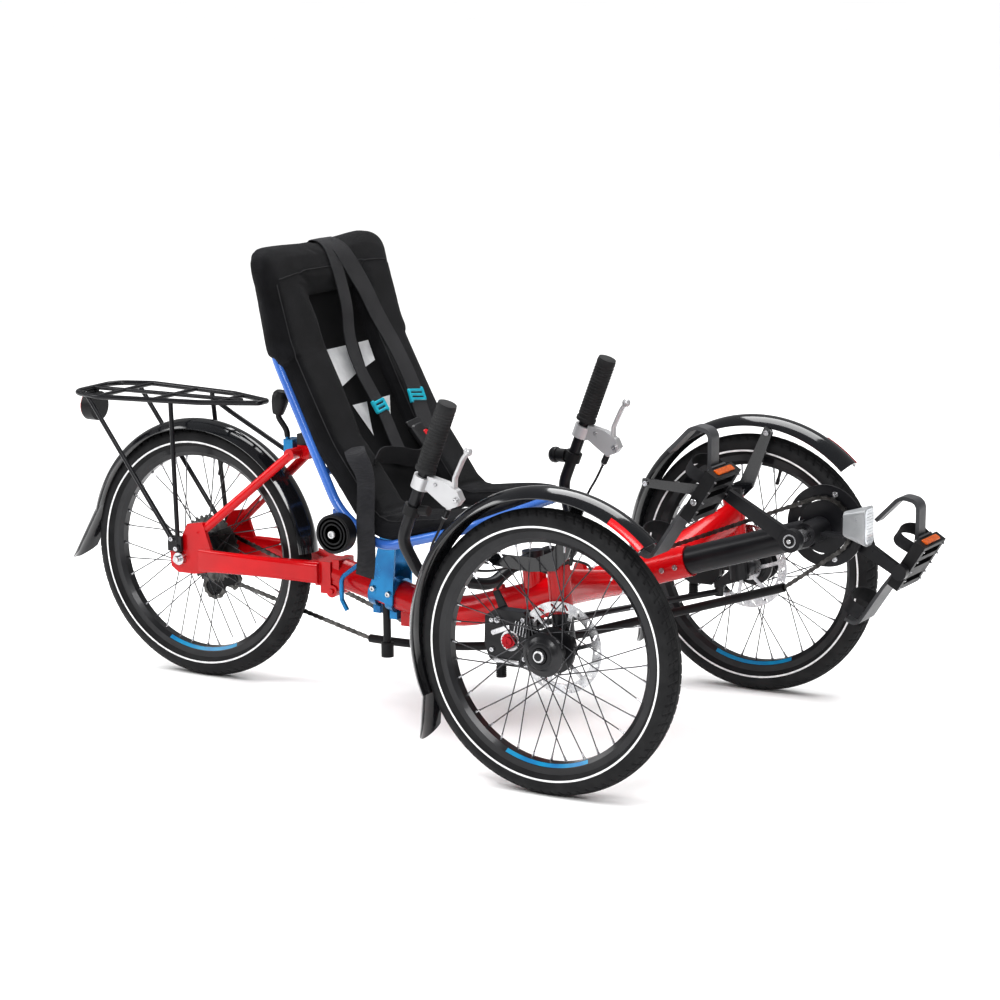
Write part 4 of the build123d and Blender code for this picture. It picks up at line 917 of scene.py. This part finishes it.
def cable_line(places):
    """The smooth line of a cable drawn between its tie points."""
    route = bpy.data.curves.new("cable_route", "CURVE")
    route.dimensions = "3D"
    spline = route.splines.new("NURBS")
    spline.points.add(len(places) - 1)
    for point, place in zip(spline.points, places):
        point.co = (*place, 1)
    spline.order_u = 3
    spline.use_endpoint_u = True
    holder = bpy.data.objects.new("cable_route", route)
    line = [vertex.co.copy() for vertex in bpy.data.meshes.new_from_object(holder).vertices]
    bpy.data.objects.remove(holder)
    return line


def loose_piece(name, parts, material, a):
    """A piece made on one body and then taken off it, with its place baked into its mesh."""
    piece = make_piece(name, parts, material, a)
    place = piece.matrix_world.copy()
    piece.parent = None
    piece.matrix_world = place
    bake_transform(piece)
    return piece


for hand, side in HANDS.items():
    for name, places, a, b, start, end in (
            ("bar_cable", CABLE_ON_BAR, "handlebar", "frame", spot(0.762, 0, 0.32), spot(0.905, 0, 0.32)),
            ("caliper_cable", CABLE_ON_KNUCKLE, "frame", f"{hand}_knuckle", spot(0.93, side * 0.265, 0.35),
             spot(0.93, side * 0.335, 0.35))):
        run = cable_line([spot(x, side * y, z) for x, y, z in places])
        cable = loose_piece(
            f"{hand}_{name}", [tube_mesh(run, CABLE_ROUND)], cable_black, a)
        tuple(run[0])
        sum((far - near).length for near, far in zip(run, run[1:]))
        [tuple(point) for point in run]

# Front brakes
# Mechanical disc calipers: a cast body over the rotor, a red dial on its outer face and a cable arm.
# Each stub axle ends in a nut, inside a cap on the hub.

CALIPER_DEPTH = 0.372
CALIPER_SCREWS = ((0.872, 0.232), (0.872, 0.284), (0.934, 0.29), (0.936, 0.222))
DIAL_AT = (0.908, 0.251)
DIAL_PROUD = 0.0042
FINS = 5
GUARD_BOLTS = ((0.785, 0.389), (1.04, 0.507), (0.99, 0.391))
AXLE_AT = (1.0, 0.2475)
dial_red = finish("dial_red", (0.42, 0.01, 0.022), (0.3, 0.006, 0.014), 0.01, 0.3, 0.06, 0.0006, 0.00004,
                  metallic=0.6)


def toothed(centre, axis, radius, teeth, thick, deep, bore=0.0008, per=4):
    """A flat wheel with teeth or lobes round its rim, across its thickness."""
    axis = axis.normalized()
    u = axis.orthogonal().normalized()
    v = axis.cross(u)
    rings = []
    for k in range(teeth * per):
        turn = 2 * pi * k / (teeth * per)
        size = radius + (deep / 2 if k % per < per / 2 else -deep / 2)
        way = u * cos(turn) + v * sin(turn)
        rings.append([centre + way * out + axis * high * thick / 2
                      for out, high in ((size, -1), (bore, -1), (bore, 1), (size, 1))])
    return skinned(rings, ends=False)


barrel = [(0.0, 0.0088), *ribbed(0.001, 0.0032, 6, ((0, 0.0094), (0.0016, 0.0082))), (0.022, 0.0082)]
for hand, side in HANDS.items():
    out = LEFT * side
    body = f"{hand}_knuckle"
    face = side * CALIPER_DEPTH
    dial = spot(DIAL_AT[0], face + side * DIAL_PROUD, DIAL_AT[1])
    make_piece(f"{hand}_caliper_dial", [
        toothed(dial + out * 0.002, out, 0.0128, 14, 0.004, 0.0016),
        turned(dial + out * 0.004, out, [
            (0, 0.0088), (0.0022, 0.008), (0.0022, 0.0035), (0.0008, 0.003)], 20)], dial_red, body)
    screws = [cap_screw(spot(x, face, z), out, 0.009, 0.004) for x, z in CALIPER_SCREWS]
    screws.append(cap_screw(spot(0.884, face, 0.286), out, 0.013, 0.005))
    face += side * 0.001
    screws.append(slab(spot(0.889, face, 0.268), Vector((1, 0, 0.4)), UP, 0.04, 0.01, 0.003, 0.004))
    screws.append(slab(spot(0.9, face, 0.214), AHEAD, UP, 0.05, 0.008, 0.003, 0.003))
    screws += [
        slab(spot(0.918 + fin * 0.0056, face + side * 0.0002, 0.276 - fin * 0.0012), Vector((0.2, 0, 1)), AHEAD,
             0.024, 0.0026, 0.0036, 0.001, 3) for fin in range(FINS)]
    screws.append(turned(dial - out * DIAL_PROUD, out, [
        (0, 0.0185), (0.002, 0.018), (0.002, 0.015), (0.0008, 0.0148)], 32))
    make_piece(f"{hand}_caliper_screws", screws, bright_steel, body)
    make_piece(f"{hand}_caliper_barrel", [
        turned(spot(0.884, side * 0.363, 0.183), UP, barrel, 20)], black_steel, body)
    make_piece(f"{hand}_guard_bolts", [
        cap_screw(spot(x, side * 0.3556, z), -out, 0.011, 0.004) for x, z in GUARD_BOLTS],
        bright_steel, body)
    make_piece(f"{hand}_axle_nut", [turned(spot(AXLE_AT[0], side * 0.4352, AXLE_AT[1]), out, [
        (0, 0.0098), (0.0034, 0.0102), (0.0044, 0.0088), (0.0044, 0.0046), (0.003, 0.0044)])],
        lever_silver, body)
    make_piece(f"{hand}_hub_cap", [turned(spot(AXLE_AT[0], side * 0.4322, AXLE_AT[1]), out, [
        (0, 0.0215), (0.0006, 0.0215), (0.0012, 0.02), (0.0012, 0.0145), (0.0, 0.014)], 32)],
        black_steel, f"{hand}_wheel")

# Spoke nipples and valves
# Plated brass nipples seat in the rim at each spoke, and a valve with a cap stands in from the rim.

SPOKES_A_SIDE = 18
SPOKE_CROSSING = 62.0
FRONT_FLANGES = ((0.038, -0.02), (0.04, 0.016))
REAR_FLANGES = ((0.03, -0.026), (0.03, 0.016))
RIM_INNER = 0.19
VALVE_TURN = 75


def nipples(centre, flanges, mirror):
    """The nipples of one wheel, each in line with its spoke."""
    parts = []
    for (flange_radius, across), start in zip(flanges, (0.0, 0.5)):
        for index in range(SPOKES_A_SIDE):
            lean = 1 if index % 2 else -1
            turn = (index + start) * 360 / SPOKES_A_SIDE
            hub = radial(radians(turn + lean * SPOKE_CROSSING)) * flange_radius
            hub += LEFT * mirror * (across + lean * 0.0023)
            foot = radial(radians(turn)) * RIM_INNER + LEFT * mirror * copysign(0.003, across)
            way = (hub - foot).normalized()
            parts.append(turned(centre + foot - way * 0.001, way, [
                (0, 0.0026), (0.004, 0.0026), (0.0045, 0.002), (0.013, 0.0018)], 6))
    return parts


nipple_steel = finish("nipple_steel", (0.55, 0.55, 0.56), (0.4, 0.4, 0.42), 0.01, 0.25, 0.08, 0.0006, 0.00002,
                      metallic=1.0)
valve_way = -radial(radians(VALVE_TURN))
for wheel in WHEELS:
    low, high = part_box(f"{wheel}_rim")
    centre = (low + high) / 2
    flanges = REAR_FLANGES if wheel == "rear" else FRONT_FLANGES
    make_piece(f"{wheel}_nipples", nipples(centre, flanges, -1 if wheel == "left" else 1), nipple_steel,
               f"{wheel}_wheel")
    make_piece(f"{wheel}_valve", [turned(centre - valve_way * (RIM_INNER + 0.001), valve_way, [
        (0, 0.0042), (0.004, 0.0042), (0.006, 0.003), (0.02, 0.0028), (0.021, 0.0036), (0.03, 0.0036),
        (0.032, 0.0024)], 14)], moulded_black, f"{wheel}_wheel")

# Latch knob
# A fat moulded knob on the latch lever behind the seat, with a sleeve down its stem.

KNOB_AT = (0.196, -0.011, 0.562)
KNOB_STEM = (
    (0.2105, -0.011, 0.492), (0.2075, -0.011, 0.506), (0.1925, -0.011, 0.526), (0.192, -0.011, 0.536))
knob_way = Vector((0.006, 0, 0.028)).normalized()
knob = turned(spot(*KNOB_AT) - knob_way * 0.03, knob_way, [
    (0, 0.0062), (0.002, 0.0105), (0.012, 0.0135), (0.024, 0.0158), (0.034, 0.0166), (0.042, 0.015),
    (0.047, 0.0105), (0.0485, 0.004)], 28)
stem = tube_mesh(smooth_points([spot(*place) for place in KNOB_STEM], 0.003), 0.0056, 12)
make_piece("latch_knob", [knob, stem], moulded_black, "rear_section")

# Lamps
# A silver headlight with a ribbed clear lens on the boom.
# A black rear lamp with a red lens on the rack.

lamp_silver = finish("lamp_silver", (0.42, 0.43, 0.44), (0.34, 0.35, 0.36), 0.03, 0.3, 0.06, 0.001, 0.00003,
                     metallic=0.4, edge=0.001)
dress(lamp_silver, "headlight")
dress(moulded_black, "tail_lamp")
lens_clear = finish("lens_clear", (0.78, 0.8, 0.82), (0.6, 0.62, 0.65), 0.012, 0.08, 0.04, 0.003, 0.0002,
                    coat=0.8)
lens_red = finish("lens_red", (0.42, 0.01, 0.014), (0.26, 0.005, 0.008), 0.012, 0.12, 0.05, 0.002, 0.0001,
                  coat=0.8)
low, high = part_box("headlight")
lamp_face = Vector((high.x, 0, (low.z + high.z) / 2))
lens = [slab(lamp_face + AHEAD * 0.0008, UP, LEFT, 0.062, 0.033, 0.003, 0.01)]
lens += [slab(lamp_face + AHEAD * 0.0026 + UP * rib * 0.0052, UP, LEFT, 0.0026, 0.028, 0.0012, 0.001, 3)
         for rib in range(-5, 6)]
make_piece("headlight_lens", lens, lens_clear, "frame")
low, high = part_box("tail_lamp")
make_piece("tail_lens", [turned(Vector((low.x, 0, low.z + 0.029)), -AHEAD, [
    (0, 0.0272), (0.003, 0.0268), (0.0032, 0.0215), (0.005, 0.021), (0.0064, 0.015), (0.007, 0.006)], 32)],
    lens_red, "rear_section")

# Chain
# A steel roller chain of half-inch pitch: inner and outer plates on pins, its return side in a plastic tube.
# It crosses the fold hinge on the left, where the stretch of its two runs across the hinge is one piece left on
# no body.

PITCH = 0.0127
CHAIN_SIDE = 0.049
PIN_ROUND, PIN_HALF = 0.0018, 0.0027
ROLLER_ROUND, ROLLER_HALF = 0.0038, 0.0011
OUTER_PLATE, INNER_PLATE = 0.00225, 0.0015
PLATE_THICK, PLATE_END, PLATE_WAIST = 0.0007, 0.0042, 0.0029
SPROCKET_AT, SPROCKET_ROUND = (0.0, 0.2475), 0.0345
IDLER_AT, IDLER_ROUND = (0.464, 0.158), 0.0265
RING_AT, RING_ROUND = (1.298, 0.409), 0.0519
TUBE_REAR, TUBE_FRONT = (0.349, 0.101), (1.223, 0.2923)
PULLEYS = [((-0.013, 0.166), 0.0235), ((0.031, 0.184), 0.018)]
HINGE_FRONT, HINGE_BACK, HINGE_BACK_LOW = 0.335, 0.25, 0.2


def touching_line(a, size_a, b, size_b):
    """The straight run that touches two wheels; a positive size is the upper side."""
    run = Vector(b) - Vector(a)
    turn = atan2(run.y, run.x) + asin((size_b - size_a) / run.length)
    away = Vector((-sin(turn), cos(turn)))
    return Vector(a) + away * size_a, Vector(b) + away * size_b


def wrap(centre, start, end, way, steps):
    """Points round a wheel from one point to another; way is 1 upwards from the front, or -1."""
    centre = Vector(centre)
    first = atan2(start.y - centre.y, start.x - centre.x)
    last = atan2(end.y - centre.y, end.x - centre.x)
    if (last - first) * way < 0:
        last += 2 * pi * way
    turns = [first + (last - first) * k / steps for k in range(steps + 1)]
    return [centre + Vector((cos(turn), sin(turn))) * (start - centre).length for turn in turns]


def link_plate(a, b, across):
    """A waisted plate between two pins."""
    run = (b - a).normalized()
    up = Vector((-run.y, run.x))
    outline = []
    for centre, way in ((b, 1), (a, -1)):
        turns = [radians(k * 38) for k in range(-2, 3)]
        outline += [centre + (run * cos(turn) + up * sin(turn)) * way * PLATE_END for turn in turns]
        outline.append((a + b) / 2 + up * way * PLATE_WAIST)
    half = PLATE_THICK / 2
    return skinned([[spot(p.x, across + height, p.y) for p in outline] for height in (half, -half)])


def chain_parts(points, first_outer=False):
    """The links of a chain along (x, z) points."""
    pins = even_points(points, PITCH)
    parts = []
    for k, pin in enumerate(pins):
        for radius, half, sides in ((PIN_ROUND, PIN_HALF, 8), (ROLLER_ROUND, ROLLER_HALF, 10)):
            parts.append(turned(
                spot(pin.x, CHAIN_SIDE - half, pin.y), LEFT, [(0, radius), (2 * half, radius)], sides))
    for k, (pin, after) in enumerate(zip(pins, pins[1:])):
        plate = OUTER_PLATE if (k % 2 == 0) == first_outer else INNER_PLATE
        parts += [link_plate(pin, after, CHAIN_SIDE + side * plate) for side in (-1, 1)]
    return parts


def cut_at(a, b, x):
    """The point of a straight run at a given x."""
    return a.lerp(b, (x - a.x) / (b.x - a.x))


pull_a, pull_b = touching_line(SPROCKET_AT, SPROCKET_ROUND, IDLER_AT, -IDLER_ROUND)
rise_a, rise_b = touching_line(IDLER_AT, -IDLER_ROUND, RING_AT, RING_ROUND)
back_low, ring_low = touching_line(TUBE_FRONT, 0.0, RING_AT, -RING_ROUND)
(low_at, low_size), (high_at, _) = PULLEYS
drop_tube, drop_low = touching_line(TUBE_REAR, 0.0, low_at, -low_size)
hinge_front, hinge_back = (cut_at(pull_a, pull_b, x) for x in (HINGE_FRONT, HINGE_BACK))
hinge_low = cut_at(drop_low, drop_tube, HINGE_BACK_LOW)
front_run = [hinge_front, pull_b, *wrap(IDLER_AT, pull_b, rise_a, 1, 5)[1:], rise_b,
             *wrap(RING_AT, rise_b, ring_low, -1, 18)[1:], back_low]
chain_front = make_piece("chain_front", chain_parts(front_run), chain_steel, "frame")
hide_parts("chain")
rear_run = [hinge_back, pull_a,
            *wrap(SPROCKET_AT, pull_a, Vector(SPROCKET_AT) + Vector((0.012, -0.0323)), 1, 18)[1:]]
high_at, low_at = Vector(high_at), Vector(low_at)
rear_run += wrap(high_at, high_at + Vector((0.006, 0.017)), high_at + Vector((0.004, -0.0175)), -1, 8)
rear_run += [*wrap(low_at, low_at + Vector((-0.004, 0.0231)), drop_low, 1, 10), hinge_low]
chain_rear = make_piece("chain_rear", chain_parts(rear_run), chain_steel, "rear_section")
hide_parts("rear_chain")
hinge_parts = chain_parts([hinge_back, hinge_front], True) + chain_parts([hinge_low, drop_tube], True)
loose_piece("chain_hinge", hinge_parts, chain_steel, "frame")

# Sprockets and derailleur
# Eight pressed steel sprockets with teeth, and a cage with two toothed pulleys that takes up the chain.

SPROCKET_COUNT = 8
LARGEST = 0.066
FALL = 0.0052
SPROCKET_APART = 0.0038
teeth_parts = []
for index in range(SPROCKET_COUNT):
    size = LARGEST - FALL * index
    across = CHAIN_SIDE - SPROCKET_APART * (SPROCKET_COUNT - 1 - index)
    under_chain = 0.002 if index == SPROCKET_COUNT - 1 else 0.0008
    teeth_parts.append(toothed(spot(0, across, SPROCKET_AT[1]), LEFT, size - under_chain,
                               round(2 * pi * size / PITCH), 0.0016, 0.0046, 0.0185, 6))
for across, outline in ((0.0012, [(0, 0.021), (0.0015, 0.0205), (0.0022, 0.018), (0.001, 0.015)]),
                        (-0.0276, [(0, 0.0222), (0.028, 0.0222)])):
    teeth_parts.append(turned(spot(0, CHAIN_SIDE + across, SPROCKET_AT[1]), LEFT, outline))
sprockets = make_piece("sprockets", teeth_parts, chain_steel, "rear_wheel")
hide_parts("cassette")
changer = []
for (x, z), size in PULLEYS:
    changer.append(toothed(spot(x, CHAIN_SIDE, z), LEFT, size - 0.003, 12, 0.0024, 0.0044, per=6))
    changer += [
        turned(spot(x, CHAIN_SIDE + across - 0.0008, z), LEFT, [(0, size * 0.52), (0.0016, size * 0.52)], 20)
        for across in (-0.0058, 0.0058)]
low_pulley, high_pulley = (spot(x, CHAIN_SIDE, z) for (x, z), size in PULLEYS)
cage_way = high_pulley - low_pulley
changer += [
    slab((low_pulley + high_pulley) / 2 + LEFT * across, cage_way, LEFT.cross(cage_way), 0.072, 0.02, 0.0018,
         0.0095) for across in (-0.0062, 0.0062)]
changer.append(slab(spot(0.01, 0.0595, 0.19), Vector((1, 0, 0.2)), UP, 0.046, 0.02, 0.012, 0.006))
changer.append(slab(spot(0.004, 0.0648, 0.212), Vector((0.1, 0, 1)), AHEAD, 0.04, 0.017, 0.0054, 0.006))
derailleur = make_piece("gear_changer", changer, moulded_black, "rear_section")
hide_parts("derailleur")
changer_screws = [
    cap_screw(pulley + LEFT * 0.0072, LEFT, 0.008, 0.003) for pulley in (low_pulley, high_pulley)]
changer_screws.append(cap_screw(spot(0.004, 0.0675, 0.222), LEFT, 0.011, 0.004))
make_piece("changer_screws", changer_screws, bright_steel, "rear_section")

# Pedals and foot rests
# Cage pedals with orange reflectors in both long edges, and a foot rest bolted on for toe and heel.
# A strap of webbing goes over each foot.

PEDAL_LEAN = 57.5
STRAP_MIDDLE = 0.145
STRAP_ARCH = ((-0.04, 0), (-0.044, 0.6), (-0.02, 1), (0.02, 1), (0.044, 0.6), (0.04, 0))
reflector_orange = finish("reflector_orange", (0.62, 0.13, 0.008), (0.42, 0.07, 0.004), 0.004, 0.15, 0.05,
                          0.002, 0.0002, coat=0.6)
strap_black = finish("strap_black", (0.024, 0.024, 0.026), (0.014, 0.014, 0.016), 0.02, 0.75, 0.06, 0.001,
                     0.0002, shine=0.3)
hook_grey = finish("hook_grey", (0.075, 0.076, 0.08), (0.05, 0.051, 0.055), 0.05, 0.42, 0.06, 0.0006, 0.00005,
                   edge=0.0008, shine=0.4)
dress(hook_grey, "right_foot_rest", "left_foot_rest")
toe_way = radial(radians(PEDAL_LEAN))
sole_way = toe_way.cross(LEFT)
for hand, side in HANDS.items():
    hub = Vector(joints[f"{hand}_pedal_spin"]["pos_m"])

    def on_pedal(x, y, z):
        """A point counted from the pedal's axle: to the toe, outwards, and up from the sole."""
        return Vector((hub.x, side * y, hub.z)) + toe_way * x + sole_way * z

    make_piece(f"{hand}_pedal_reflectors", [
        slab(on_pedal(x, 0.144, 0.0), LEFT, sole_way, 0.062, 0.013, 0.004, 0.003) for x in (-0.0392, 0.0592)],
        reflector_orange, f"{hand}_pedal")
    pins = [turned(on_pedal(x, y, -0.0108), -sole_way, [(0, 0.0019), (0.0034, 0.0017)], 8)
            for y in (0.099, 0.189) for x in (-0.03, -0.014, 0.006, 0.028, 0.05)]
    pins += [cap_screw(on_pedal(x, y, 0.0152), sole_way, 0.008, 0.003)
             for y in (0.128, 0.162) for x in (0.046, -0.018)]
    pins.append(cap_screw(on_pedal(0, 0.196, 0), LEFT * side, 0.012, 0.003))
    make_piece(f"{hand}_pedal_pins", pins, bright_steel, f"{hand}_pedal")
    for name, x, low, rise, wide in (("toe_strap", 0.04, 0.013, 0.04, 0.022),
                                     ("heel_strap", -0.118, 0.0215, 0.042, 0.026)):
        arch = smooth_points([
            on_pedal(x, STRAP_MIDDLE + y, low + rise * share) for y, share in STRAP_ARCH], 0.006)
        make_piece(f"{hand}_{name}", [
            ribbon(arch, wide, toe_way, 0.0016)], strap_black, f"{hand}_pedal")

# Bolts on the frame
# Socket screws at the clamps, boom sleeve, rack feet, chainring, spindle and seat rollers.

CLAMP_SCREWS = ((0.412, 0.222), (0.446, 0.214), (0.452, 0.345))
RACK_SCREWS = ((-0.014, 0.0862, 0.286), (-0.002, 0.088, 0.268))
ROLLER_AT = (0.452, 0.365)
frame_screws = [cap_screw(spot(x, side * 0.034, z), LEFT * side, 0.011, 0.005)
                for side in (-1, 1) for x, z in CLAMP_SCREWS]
frame_screws += [
    cap_screw(spot(x, -0.0284, 0.176 + 0.312 * (x - 0.567)), -LEFT, 0.01, 0.004) for x in (1.02, 1.046)]
make_piece("frame_screws", frame_screws, bright_steel, "frame")
ring_middle = spot(RING_AT[0], 0.056, RING_AT[1])
make_piece("ring_screws", [
    cap_screw(ring_middle + radial(radians(72 * k)) * 0.06, -LEFT, 0.011, 0.003) for k in range(5)],
    bright_steel, "cranks")
low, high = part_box("crank_spindle")
spindle_caps, spindle_bolts = [], []
for end, out in ((low.y, -LEFT), (high.y, LEFT)):
    face = Vector(((low.x + high.x) / 2, end, (low.z + high.z) / 2))
    spindle_caps.append(turned(face - out * 0.001, out, [
        (0, 0.0092), (0.003, 0.009), (0.003, 0.006), (0.0018, 0.0058)], 28))
    spindle_bolts.append(cap_screw(face + out * 0.0018, out, 0.0085, 0.0022))
make_piece("spindle_caps", spindle_caps, moulded_black, "cranks")
make_piece("spindle_bolts", spindle_bolts, bright_steel, "cranks")
make_piece("rack_screws", [
    cap_screw(spot(x, side * y, z), LEFT * side, 0.01, 0.005)
    for side in (-1, 1) for x, y, z in RACK_SCREWS], bright_steel, "rear_section")
make_piece("roller_screws", [
    cap_screw(spot(ROLLER_AT[0], side * 0.2282, ROLLER_AT[1]), LEFT * side, 0.014, 0.005)
    for side in (-1, 1)], lever_silver, "frame")
for hand, side in HANDS.items():
    make_piece(f"{hand}_roller_face", [turned(spot(ROLLER_AT[0], side * 0.2261, ROLLER_AT[1]), LEFT * side, [
        (0, size), (0.0012, size - 0.0006), (0.0012, size - 0.003), (0, size - 0.0036)], 40)
        for size in (0.034, 0.027, 0.02)], moulded_black, f"{hand}_roller")
